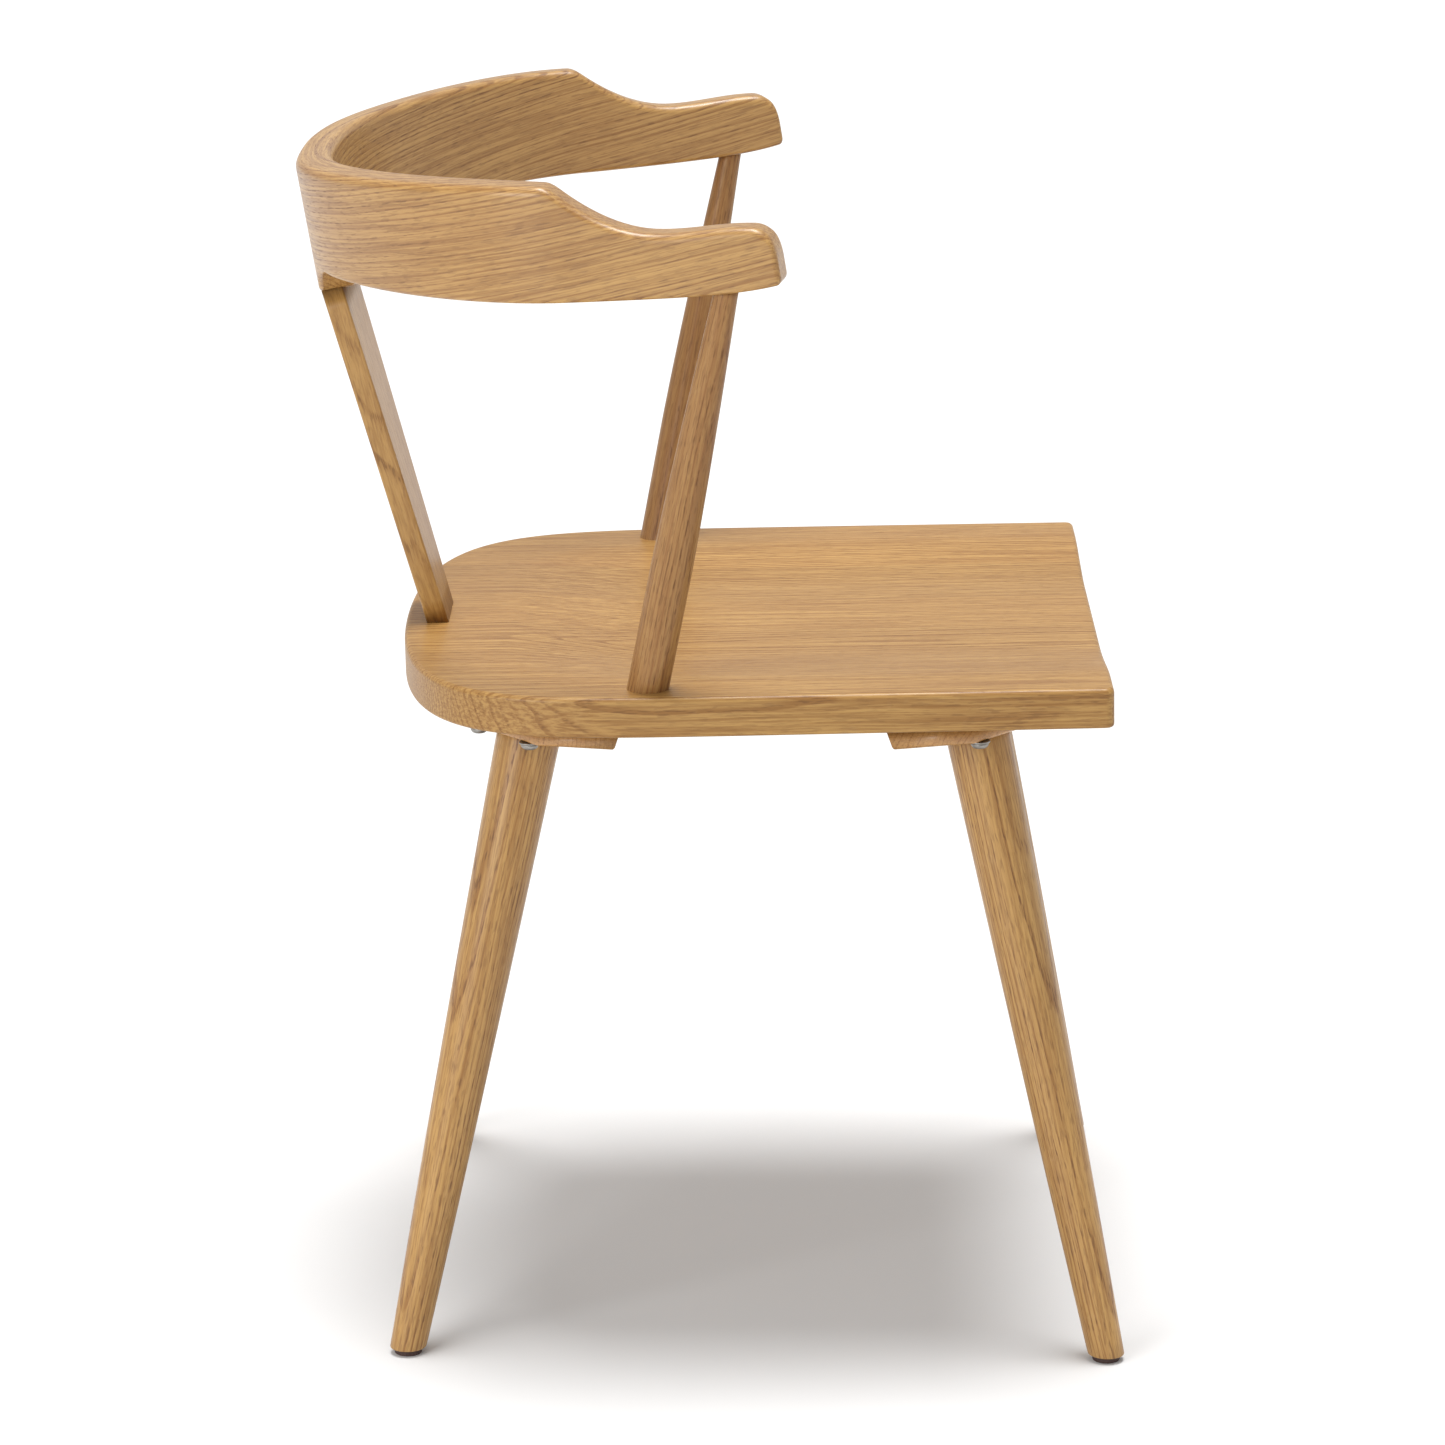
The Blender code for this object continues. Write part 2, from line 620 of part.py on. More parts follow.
def make_corner(seat, row, side, sign):
    """One leg with its block, glide, screws, washers and threaded inserts."""
    inset, setback, foot_out, foot_back = LEGS[row]
    head = Vector((sign * (SEAT_WIDTH / 2 - inset), setback))
    label = f"{row}_{side}"
    lower = SEAT_THICKNESS + GAP + BLOCK_THICKNESS

    top = seat_point(head.x, head.y, lower)
    foot = Vector((top.x + sign * foot_out, top.y + foot_back, 0.0))
    length = (top - foot).length
    upright = (top.z - foot.z) / length
    matrix = along(foot, top)
    tilt = math.acos(upright)
    tenon_end = (
        length
        + (BLOCK_THICKNESS - LEG_TENON_COVER) / upright
        - LEG_TENON_DIAMETER / 2 * math.tan(tilt)
    )

    def leg_profile(extra=0.0):
        full = LEG_TOP_DIAMETER / 2 + extra
        tenon = LEG_TENON_DIAMETER / 2 + extra
        top_end = [
            (0.0, tenon_end + extra),
            (tenon, tenon_end + extra),
            (tenon, length + LEG_HOUSING + extra),
            (full, length + LEG_HOUSING + extra),
        ]
        taper = []
        for i in range(LEG_RINGS + 1):
            part = i / LEG_RINGS
            radius = full + (LEG_FOOT_DIAMETER / 2 + extra - full) * part
            radius += LEG_SWELL * math.sin(math.pi * part)
            taper.append((radius, length * (1 - part)))
        foot_radius = taper[-1][0]
        return top_end + taper + [(foot_radius, -LEG_OVERRUN), (0.0, -LEG_OVERRUN)]

    leg = turned(f"leg_{label}", leg_profile(), LEG_SIDES, matrix, "oak")
    half = LEG_FOOT_DIAMETER
    level = GLIDE_HEIGHT + GAP
    centre = foot + (top - foot) * (level / top.z)
    saw = box(
        f"foot_saw_{label}",
        (centre.x - half, centre.y - half, -2 * LEG_OVERRUN),
        (centre.x + half, centre.y + half, level),
    )
    cut(leg, saw)

    under = Matrix.Translation(Vector((centre.x, centre.y, 0.0)))
    pin = GLIDE_PIN_DIAMETER / 2
    edge = GLIDE_DIAMETER / 2
    glide = [
        (0.0, GLIDE_HEIGHT + GLIDE_PIN_LENGTH),
        (pin, GLIDE_HEIGHT + GLIDE_PIN_LENGTH),
        (pin, GLIDE_HEIGHT),
        (edge, GLIDE_HEIGHT),
        (edge, GLIDE_CHAMFER),
        (edge - GLIDE_CHAMFER, 0.0),
        (0.0, 0.0),
    ]
    turned(f"foot_glide_{label}", glide, GLIDE_SIDES, under, "glide_plastic")
    pin_top = GLIDE_HEIGHT + GLIDE_PIN_LENGTH + GAP
    pin_hole = rod(
        f"glide_hole_{label}", GLIDE_PIN_DIAMETER + 2 * GAP, 0.0, pin_top, GLIDE_SIDES, under
    )
    cut(leg, pin_hole)

    block_frame = SEAT_FRAME @ Matrix.Translation((0.0, 0.0, -SEAT_THICKNESS - GAP))
    outline = [from_leg(head, sign, offset) for offset in BLOCKS[row]]
    block = board(
        f"leg_block_{label}",
        straight(outline),
        BLOCK_THICKNESS,
        BLOCK_ROUNDING,
        block_frame,
        "oak_underside",
        steps=1,
    )
    cut(block, turned(f"leg_socket_{label}", leg_profile(GAP), LEG_SIDES, matrix))

    for which, offset in SCREWS[row].items():
        make_fastening(seat, block, f"{label}_{which}", from_leg(head, sign, offset))


def make_fastening(seat, block, label, spot):
    """A screw and washer below a block, and the threaded insert that they pull on in the seat."""
    frame = SEAT_FRAME @ Matrix.Translation((*spot, -SEAT_THICKNESS))
    face = -GAP - BLOCK_THICKNESS
    shank = SCREW_DIAMETER / 2
    head = SCREW_HEAD_DIAMETER / 2
    washer_top = face - GAP
    washer_low = washer_top - WASHER_THICKNESS
    seatface = washer_low - GAP
    tip = INSERT_LENGTH - SCREW_SHORTFALL
    crown = seatface - SCREW_HEAD_HEIGHT
    screw = [
        (0.0, tip),
        (shank, tip),
        (shank, seatface),
        (head, seatface),
        (head, seatface - SCREW_HEAD_RIM),
        (head - SCREW_HEAD_CHAMFER, crown),
        (0.0, crown),
    ]
    turned(f"screw_{label}", screw, SMALL_SIDES, frame, "nickel")
    inner = shank + GAP
    rings = (
        (f"washer_{label}", WASHER_DIAMETER / 2, washer_top, washer_low, "nickel"),
        (f"insert_{label}", INSERT_DIAMETER / 2, INSERT_LENGTH, 0.0, "zinc"),
    )
    for name, outer, top, bottom, finish in rings:
        ring = [(inner, bottom), (inner, top), (outer, top), (outer, bottom), (inner, bottom)]
        turned(name, ring, SMALL_SIDES, frame, finish)
    screw_hole = rod(
        f"screw_hole_{label}",
        SCREW_DIAMETER + 2 * GAP,
        face - HOLE_OVERRUN,
        HOLE_OVERRUN,
        SMALL_SIDES,
        frame,
    )
    cut(block, screw_hole)
    insert_hole = rod(
        f"insert_hole_{label}",
        INSERT_DIAMETER + 2 * GAP,
        -HOLE_OVERRUN,
        INSERT_LENGTH + INSERT_HOLE_END,
        SMALL_SIDES,
        frame,
    )
    cut(seat, insert_hole)


clear_scene()
parts = new_collection("dining_chair")
cutters = new_collection("cutters")

seat_piece = make_seat()
rail_piece = make_rail()
make_splat(seat_piece, rail_piece)
make_spindles(seat_piece, rail_piece)
for row_name in LEGS:
    for side_name, side_sign in (("left", 1), ("right", -1)):
        make_corner(seat_piece, row_name, side_name, side_sign)
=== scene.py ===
import math

import bmesh
import bpy
import numpy as np
from bpy.props import FloatProperty, FloatVectorProperty, IntProperty, PointerProperty
from mathutils import Matrix, Vector
from mathutils.geometry import convex_hull_2d, interpolate_bezier


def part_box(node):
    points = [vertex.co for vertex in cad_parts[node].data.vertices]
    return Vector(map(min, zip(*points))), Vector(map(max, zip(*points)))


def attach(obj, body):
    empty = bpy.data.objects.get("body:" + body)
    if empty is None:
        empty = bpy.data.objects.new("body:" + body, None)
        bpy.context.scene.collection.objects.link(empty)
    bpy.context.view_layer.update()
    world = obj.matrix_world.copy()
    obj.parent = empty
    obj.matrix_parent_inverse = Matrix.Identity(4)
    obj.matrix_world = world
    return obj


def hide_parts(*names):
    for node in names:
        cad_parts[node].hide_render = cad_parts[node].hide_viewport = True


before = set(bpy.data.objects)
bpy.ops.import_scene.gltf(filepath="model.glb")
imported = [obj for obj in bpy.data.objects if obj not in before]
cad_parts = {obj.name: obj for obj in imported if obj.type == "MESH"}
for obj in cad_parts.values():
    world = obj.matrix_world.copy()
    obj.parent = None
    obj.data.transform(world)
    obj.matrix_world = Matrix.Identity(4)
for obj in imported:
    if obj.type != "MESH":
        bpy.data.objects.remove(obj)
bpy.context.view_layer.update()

bl_info = {
    "name": "Oak Dining Armchair",
    "version": (1, 0, 0),
    "blender": (4, 5, 0),
    "location": "3D View > Sidebar > Chair",
    "description": "Builds a dining armchair of solid oak, piece by piece, around its packed frame",
    "category": "Add Mesh",
}

# The frame: metres, +Z up, the sitter faces -Y and has +X on the left.
SEAT_LOW, SEAT_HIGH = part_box("seat")
RAIL_LOW, RAIL_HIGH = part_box("back_rail")
SIDES = (("left", 1), ("right", -1))
ROWS = ("front", "back")
SCREWS = ("outer", "corner", "inner")
CORNERS = [f"{row}_{side}" for row in ROWS for side, _ in SIDES]
GAP = 0.0003  # room that the frame leaves between two pieces
SINK = 0.0012  # a piece enters its neighbour by this much, so no gap shows
SEAT_CORE = (0.13, 0.31)  # the seat's rings close in on this stretch of its middle line
SEAT_RINGS = 34
SHOULDER_EASE = 0.0009  # what the rail's rounding takes off its box at the shoulders
BACK_EASE = 0.0027  # and at the back's upper edge
TIP_EASE = 0.0005  # and at the tips
SIDE_BEND = (0.048, 0.043)  # pulls at the two ends of the rail's side bend, seen from above
BACK_BEND = (0.077, 0.069)  # and of its back bend
GRAIN_CLIMB = 0.085  # the rail's grain climbs across it by this much from the back to a tip
SPINDLE_START = 0.003  # a spindle's skin starts here along its axis, sunk in the seat
SPINDLE_LEAST = 0.0068  # thinner rings belong to the tenons
LEG_LEAST = 0.0165  # thinner rings near a leg's head belong to its tenon
LEG_STEPS = 26
SAME_PLACE = 0.0015  # corners closer than this are one corner
SHANK = 0.0030  # radius of a screw's shank
LIP = 0.0004  # small steps and chamfers on a screw's head
OVERHEAD_PLACE = (0.12, -0.03, 2.0)  # the wide light shines from here to the origin
SIDE_PLACE = (-2.3, 1.9, 1.4)


# ---------------------------------------------------------------- sizes and colours


def length(name, about, default, low=0.0, high=1.0):
    return FloatProperty(name=name, description=about, default=default, min=low, max=high,
                         unit="LENGTH", precision=4)


def angle(name, about, degrees):
    return FloatProperty(name=name, description=about, default=math.radians(degrees), unit="ROTATION")


def share(name, about, default, low=0.0, high=1.0):
    return FloatProperty(name=name, description=about, default=default, min=low, max=high)


def colour(name, about, *default):
    return FloatVectorProperty(name=name, description=about, default=default, size=3, subtype="COLOR",
                               min=0.0, max=1.0)


class ChairSeatSizes(bpy.types.PropertyGroup):
    """The scooped seat"""

    thickness: length("Thickness", "Through the board at its rim", 0.026)
    pitch: angle("Pitch", "The seat falls towards the back by this angle", 1.2)
    depth: length("Depth", "From the front edge to the back edge", 0.4615)
    front_taper: length("Front taper", "Each side draws in by this much at the front", 0.0025)
    front_corner: length("Front corner", "Radius of the two front corners", 0.006)
    side_run: length("Side run", "Straight side, before the back curve starts", 0.270)
    side_pull: share("Side pull", "How full the back curve is at the sides", 0.64)
    back_pull: share("Back pull", "How full the back curve is at the back", 0.965)
    top_edge: length("Top edge", "Rounding of the upper arris", 0.0036)
    low_edge: length("Lower edge", "Rounding of the lower arris", 0.0022)
    scoop: length("Scoop", "Depth of the hollow", 0.009)
    scoop_rim: length("Scoop rim", "Flat rim left beside the hollow", 0.026)
    scoop_slope: length("Scoop slope", "Width over which its sides fall", 0.130)
    scoop_end_rim: length("Scoop end rim", "Flat rim left behind the hollow", 0.045)
    scoop_end_slope: length("Scoop end slope", "Length over which its back end falls", 0.150)


class ChairRailSizes(bpy.types.PropertyGroup):
    """The bent rail that makes the back and both arms"""

    thickness: length("Thickness", "Through the rail", 0.025)
    lean: angle("Lean", "Its faces lean back by this angle", 9.7)
    datum_drop: length("Datum drop", "Its plan is drawn this much below the shoulders", 0.028)
    arm: length("Arm", "Straight run from the tip to the shoulder", 0.1385)
    toe: angle("Toe", "The arms open towards their tips", 10.8)
    reach: length("Reach", "From the tips back to the rearmost place of the plan", 0.3118)
    turn_inset: length("Turn inset", "Where the side bend becomes the back bend, in from the tips", 0.1129)
    turn_depth: length("Turn depth", "That place, ahead of the back", 0.0577)
    turn_angle: angle("Turn angle", "Heading of the rail at that place", 37.0)
    top_fall: length("Top fall", "The back's top edge, below the shoulders", 0.0180)
    top_crown: share("Top crown", "How the top edge curves up to the shoulders", 1.7, 0.5, 4.0)
    dip_fall: length("Dip fall", "Lowest place of an arm's top edge, below the shoulder", 0.0268)
    dip_span: length("Dip span", "From the dip back to the shoulder", 0.062)
    tip_lift: length("Tip lift", "The top edge rises again towards the tip", 0.0058)
    tip_corner: length("Tip corner", "Radius of the tip's upper corner", 0.014)
    back_height: length("Back height", "Height of the rail in the middle of the back", 0.0665)
    low_rise: length("Low rise", "The lower edge rises from the back to the tips", 0.0225)
    tip_kick: length("Tip kick", "Last rise of the lower edge at the tip", 0.0067)
    tip_kick_run: length("Tip kick run", "Length over which it fades", 0.030)
    shoulder_blend: length("Shoulder blend", "Softness of the shoulder", 0.0045)
    tongue_drop: length("Tongue drop", "The middle hangs below the lower edge by this much", 0.0195)
    tongue_half: length("Tongue half width", "Half the flat end of the tongue", 0.0515)
    tongue_flare: length("Tongue flare", "Width over which the lower edge falls to the tongue", 0.042)
    top_edge: length("Top edge", "Rounding of the upper arrises", 0.0058)
    low_edge: length("Lower edge", "Rounding of the lower arrises", 0.0030)
    end_edge: length("End edge", "Rounding of the tips' ends", 0.0035)


class ChairTurningSizes(bpy.types.PropertyGroup):
    """The turned, sawn and plated small pieces"""

    splat_thickness: length("Splat thickness", "Through the flat splat", 0.0142)
    splat_edge: length("Splat edge", "Rounding of the splat's long edges", 0.0016)
    splat_base: length("Splat base", "Width of the splat where it meets the seat", 0.060)
    foot_edge: length("Foot edge", "Rounding of a leg's sawn foot", 0.0009)
    block_edge: length("Block edge", "Rounding of a leg block's lower edges", 0.0022)
    block_bevel: length("Block bevel", "A block's free end slopes in by this much", 0.0055)
    glide_edge: length("Glide edge", "Rounding of a foot glide", 0.0009)
    recess: length("Recess", "Depth of the six-sided recess in a screw's head", 0.0017)
    recess_radius: length("Recess radius", "Its radius across the corners", 0.0023)
    sides: IntProperty(name="Sides", description="Sides of the large turned pieces", default=64,
                       min=16, max=128)


class ChairFinishes(bpy.types.PropertyGroup):
    """Colours of the wood, the metal and the plastic"""

    pale: colour("Pale wood", "Earliest and palest wood between the pores", 0.415, 0.236, 0.070)
    tan: colour("Tan wood", "Late, denser wood of each ring", 0.240, 0.110, 0.023)
    pore: colour("Pores", "Open pores that hold some stain", 0.110, 0.042, 0.011)
    ray: colour("Rays", "Pale flecks of the rays", 0.440, 0.270, 0.110)
    warm: colour("Warm wood", "Pinkish brown of the sawn undersides", 0.250, 0.106, 0.042)
    nickel: colour("Nickel", "Plating of the screws and washers", 0.330, 0.315, 0.290)
    zinc: colour("Zinc", "Plating of the threaded inserts", 0.560, 0.565, 0.550)
    glide: colour("Glides", "Moulded foot glides", 0.046, 0.020, 0.015)
    stave: length("Stave", "Width of the staves that the seat is glued from", 0.083)


class ChairStage(bpy.types.PropertyGroup):
    """Floor, light and camera"""

    floor: colour("Floor", "Plain pale floor", 0.66, 0.66, 0.66)
    sky: share("Sky", "Brightness of the white surround", 0.66, 0.0, 5.0)
    overhead: share("Overhead", "Strength of the wide soft light above", 3.5, 0.0, 20.0)
    overhead_spread: angle("Overhead spread", "Width of that light, as seen from the chair", 27.0)
    side: FloatProperty(name="Side", description="Power of the soft light beside the camera",
                        default=44.0, unit="POWER")
    focal: FloatProperty(name="Focal length", description="Lens of the camera, in millimetres",
                         default=136.12, subtype="DISTANCE_CAMERA")
    distance: length("Camera distance", "From the chair's middle, to the sitter's right", 3.5765, 0.5, 10.0)
    height: length("Camera height", "Above the floor", 1.3221, 0.0, 5.0)
    along: length("Camera offset", "Behind the chair's middle", -0.02891, -5.0, 5.0)
    dip: FloatProperty(name="Camera dip", description="Below level", default=0.260167, unit="ROTATION")
    swing: FloatProperty(name="Camera swing", description="Towards the back", default=0.005853,
                         unit="ROTATION")


GROUPS = {
    "chair_seat": ChairSeatSizes,
    "chair_rail": ChairRailSizes,
    "chair_turning": ChairTurningSizes,
    "chair_finish": ChairFinishes,
    "chair_stage": ChairStage,
}


# ---------------------------------------------------------------- shader expressions


class Wire:
    """An output in a material's node tree that takes part in Python arithmetic."""

    def __init__(self, graph, socket):
        self.graph = graph
        self.socket = socket

    @property
    def is_vector(self):
        return self.socket.type in {"VECTOR", "RGBA"}

    def combine(self, operation, *others, swap=False):
        values = [self, *others]
        if swap:
            values.reverse()
        vector = any(isinstance(v, tuple) or (isinstance(v, Wire) and v.is_vector) for v in values)
        kind = "ShaderNodeVectorMath" if vector else "ShaderNodeMath"
        return self.graph.node(kind, {"operation": operation}, dict(enumerate(values)))

    def __add__(self, other):
        return self.combine("ADD", other)

    def __sub__(self, other):
        return self.combine("SUBTRACT", other)

    def __rsub__(self, other):
        return self.combine("SUBTRACT", other, swap=True)

    def __mul__(self, other):
        return self.combine("MULTIPLY", other)

    def __truediv__(self, other):
        return self.combine("DIVIDE", other)

    def __rtruediv__(self, other):
        return self.combine("DIVIDE", other, swap=True)

    __radd__ = __add__
    __rmul__ = __mul__

    def fraction(self):
        return self.combine("FRACT")

    def floor(self):
        return self.combine("FLOOR")

    def between(self, low, high):
        """A soft step from 0 to 1 as this value goes from low to high."""
        values = {"Value": self, "From Min": low, "From Max": high}
        return self.graph.node("ShaderNodeMapRange", {"interpolation_type": "SMOOTHSTEP"}, values)

    def part(self, axis):
        return self.graph.node("ShaderNodeSeparateXYZ", {}, {0: self}, axis)

    def length(self):
        return self.graph.node("ShaderNodeVectorMath", {"operation": "LENGTH"}, {0: self}, "Value")


class Graph:
    """A material under construction."""

    def __init__(self, name):
        self.material = bpy.data.materials.new(name)
        self.material.use_nodes = True
        self.tree = self.material.node_tree
        self.tree.nodes.clear()

    def node(self, kind, settings=None, values=None, output=0):
        """One node: its settings first, then the values or wires of its sockets."""
        node = self.tree.nodes.new(kind)
        for key, value in (settings or {}).items():
            setattr(node, key, value)
        for key, value in (values or {}).items():
            socket = node.inputs[key]
            if isinstance(value, Wire):
                self.tree.links.new(value.socket, socket)
            elif socket.type == "RGBA" and len(value) == 3:
                socket.default_value = (*value, 1.0)
            elif socket.type == "VECTOR" and isinstance(value, (int, float)):
                socket.default_value = (value, value, value)
            else:
                socket.default_value = value
        return Wire(self, node.outputs[output])

    def attribute(self, name):
        return self.node("ShaderNodeAttribute", {"attribute_name": name}, output="Vector")

    def noise(self, place, detail=2.0, roughness=0.5, colour=False):
        values = {"Vector": place, "Scale": 1.0, "Detail": detail, "Roughness": roughness}
        return self.node("ShaderNodeTexNoise", {}, values, "Color" if colour else 0)

    def chance(self, value, colour=False):
        return self.node("ShaderNodeTexWhiteNoise", {"noise_dimensions": "1D"}, {"W": value},
                         "Color" if colour else "Value")

    def mix(self, first, second, factor, blend="MIX"):
        """A colour between two colours."""
        settings = {"data_type": "RGBA", "blend_type": blend, "clamp_factor": True}
        return self.node("ShaderNodeMix", settings, {0: factor, 6: first, 7: second}, 2)

    def bump(self, height, strength, distance):
        values = {"Height": height, "Strength": strength, "Distance": distance}
        return self.node("ShaderNodeBump", {}, values)

    def finish(self, values):
        shader = self.node("ShaderNodeBsdfPrincipled", {}, values)
        output = self.tree.nodes.new("ShaderNodeOutputMaterial")
        self.tree.links.new(shader.socket, output.inputs["Surface"])
        return self.material


def oak(name, finish, pith, ring, flecks, pores=1.0, staves=False, warmth=0.0, shade=1.0,
        contrast=1.0, gloss=1.0):
    """Oak, drawn in the tree's own directions: X and Y across the trunk, Z along the grain. A mesh says
    where it lies in the tree by its attribute called grain, in metres, and pith is the way from there to
    the trunk's middle. ring is the width of a year's growth."""
    g = Graph(name)
    place = g.attribute("grain")
    tone = 0.5
    seam = None
    if staves:
        row = place.part(0) / finish.stave + 0.37
        index = row.floor()
        tone = g.chance(index)
        shift = g.chance(index + 11.3, colour=True)
        place = place + (shift - (0.5, 0.5, 0.5)) * (0.05, 0.06, 0.9)
        edge = row.fraction()
        seam = 1.0 - edge.between(0.0, 0.008) * (1.0 - edge.between(0.992, 1.0))

    wander = g.noise(place * (7.0, 7.0, 1.6), detail=2.0, colour=True) - (0.5, 0.5, 0.5)
    ripple = g.noise(place * (70.0, 70.0, 11.0), detail=1.0, colour=True) - (0.5, 0.5, 0.5)
    warped = place + wander * (0.018, 0.018, 0.0) + ripple * (0.0022, 0.0022, 0.0)
    radius = (warped * (1.0, 1.0, 0.0) + (*pith, 0.0)).length() + warped.part(2) * 0.010
    phase = radius / ring + g.noise(warped * (26.0, 26.0, 2.0)) * 1.5
    cycle = phase.fraction()
    width = g.chance(phase.floor() + 3.7)
    early = (1.0 - cycle.between(0.14, 0.42)) * cycle.between(0.0, 0.10) * (0.25 + 0.75 * width)

    streak = g.noise(warped * (480.0, 480.0, 7.0), detail=4.0, roughness=0.62)
    fibre = g.noise(warped * (1300.0, 1300.0, 26.0), detail=2.0, roughness=0.6)
    cloud = g.noise(warped * (16.0, 16.0, 3.0), detail=2.0)
    vessel = g.noise(warped * (1000.0, 1000.0, 100.0), detail=1.0)
    open_pores = vessel.between(0.51, 0.63) * (0.35 + 0.65 * early) * pores
    rays = g.noise(warped * (700.0, 90.0, 110.0), detail=2.0).between(0.60, 0.70) * flecks

    depth = 0.10 + contrast * (0.60 * early + 0.48 * streak.between(0.38, 0.64))
    wood = g.mix(finish.pale, finish.tan, depth + 0.35 * (cloud - 0.5))
    wood = g.mix(wood, finish.warm, cloud.between(0.45, 0.80) * 0.10 + warmth)
    wood = g.mix(wood, finish.ray, rays * 0.30)
    wood = g.mix(wood, finish.pore, open_pores * 0.55)
    light = shade * (0.93 + 0.14 * fibre) * (0.94 + 0.12 * tone)
    wood = g.mix(wood, g.node("ShaderNodeCombineXYZ", {}, {0: light, 1: light, 2: light}), 1.0, "MULTIPLY")
    if seam is not None:
        wood = g.mix(wood, finish.pore, seam * 0.18)
    height = fibre * 0.3 - open_pores
    return g.finish({
        "Base Color": wood,
        "Roughness": 0.50 - 0.12 * gloss + 0.14 * open_pores + 0.06 * fibre,
        "Normal": g.bump(height, 0.20, 0.0002),
        "Specular IOR Level": 0.16 + 0.34 * gloss,
        "Coat Weight": 0.45 * gloss,
        "Coat Roughness": 0.26,
    })


def plated(name, tint, roughness):
    """Plated steel with faint turning marks and finger-worn patches."""
    g = Graph(name)
    place = g.node("ShaderNodeTexCoord", output="Object")
    patch = g.noise(place * 260.0, detail=3.0)
    marks = g.noise(place * (900.0, 900.0, 6000.0), detail=1.0)
    dull = tuple(0.78 * value for value in tint)
    return g.finish({
        "Base Color": g.mix(tint, dull, patch.between(0.40, 0.72)),
        "Metallic": 1.0,
        "Roughness": roughness + 0.16 * patch + 0.05 * marks,
        "Normal": g.bump(marks, 0.05, 0.0001),
    })


def moulded(name, tint):
    """Moulded nylon with a fine matt skin, scuffed pale where it meets the floor."""
    g = Graph(name)
    place = g.node("ShaderNodeTexCoord", output="Object")
    skin = g.noise(place * 2600.0, detail=2.0)
    scuffs = g.noise(place * (420.0, 420.0, 90.0), detail=3.0)
    low = 1.0 - place.part(2).between(0.0002, 0.0016)
    pale = tuple(value * 2.4 + 0.02 for value in tint)
    return g.finish({
        "Base Color": g.mix(tint, pale, scuffs.between(0.5, 0.75) * (0.15 + 0.45 * low)),
        "Roughness": 0.50 + 0.15 * skin,
        "Normal": g.bump(skin, 0.10, 0.0001),
    })


def dowel_wood(name, finish):
    """Pale dowel rod with fine fluting marks."""
    g = Graph(name)
    place = g.node("ShaderNodeTexCoord", output="Object")
    fibre = g.noise(place * (900.0, 500.0, 60.0), detail=3.0)
    return g.finish({
        "Base Color": g.mix(tuple(finish.pale), tuple(finish.tan), fibre.between(0.35, 0.7)),
        "Roughness": 0.6 + 0.1 * fibre,
        "Normal": g.bump(fibre, 0.2, 0.0002),
    })


def plain_floor(name, tint):
    """A plain matt floor, a little uneven in tone."""
    g = Graph(name)
    place = g.node("ShaderNodeTexCoord", output="Object")
    cloud = g.noise(place * 1.3, detail=2.0)
    darker = tuple(0.985 * value for value in tint)
    return g.finish({
        "Base Color": g.mix(tint, darker, cloud),
        "Roughness": 0.92,
        "Specular IOR Level": 0.15,
    })


MATERIALS = {}


def material(key, maker, *values, **options):
    """One material of each kind, made when it is first needed."""
    if key not in MATERIALS:
        MATERIALS[key] = maker(key, *values, **options)
    return MATERIALS[key]


# How each kind of piece is cut from the tree and finished; the blocks' shade also holds painted fill light
OAKS = {
    "seat": dict(pith=(0.075, 0.045), ring=0.0036, flecks=0.25, pores=1.1, staves=True, shade=1.02,
                 contrast=1.5, gloss=0.42),
    "rail": dict(pith=(0.15, 0.05), ring=0.0030, flecks=0.18, pores=1.25, shade=1.05, contrast=1.45,
                 gloss=0.85),
    "splat": dict(pith=(0.02, 0.04), ring=0.0026, flecks=0.5, shade=0.98, gloss=0.6),
    "spindle": dict(pith=(0.0, 0.03), ring=0.0029, flecks=0.4, pores=1.5, warmth=0.40, shade=0.94,
                    contrast=1.3, gloss=0.35),
    "leg": dict(pith=(0.0, 0.03), ring=0.0029, flecks=0.4, pores=1.5, shade=1.10, contrast=1.25, gloss=0.7),
    # The blocks' shade of 1.35 paints them lighter than the rest of the oak: painted fill light that stands
    # in for the light reaching under the seat.
    "block": dict(pith=(0.0, 0.06), ring=0.0030, flecks=0.2, pores=1.1, warmth=0.30, shade=1.35),
}


def oak_for(piece):
    """The oak of one kind of piece."""
    return material(f"{piece} oak", oak, bpy.context.scene.chair_finish, **OAKS[piece])


# ---------------------------------------------------------------- meshes


def smooth(value):
    value = min(max(value, 0.0), 1.0)
    return value * value * (3.0 - 2.0 * value)


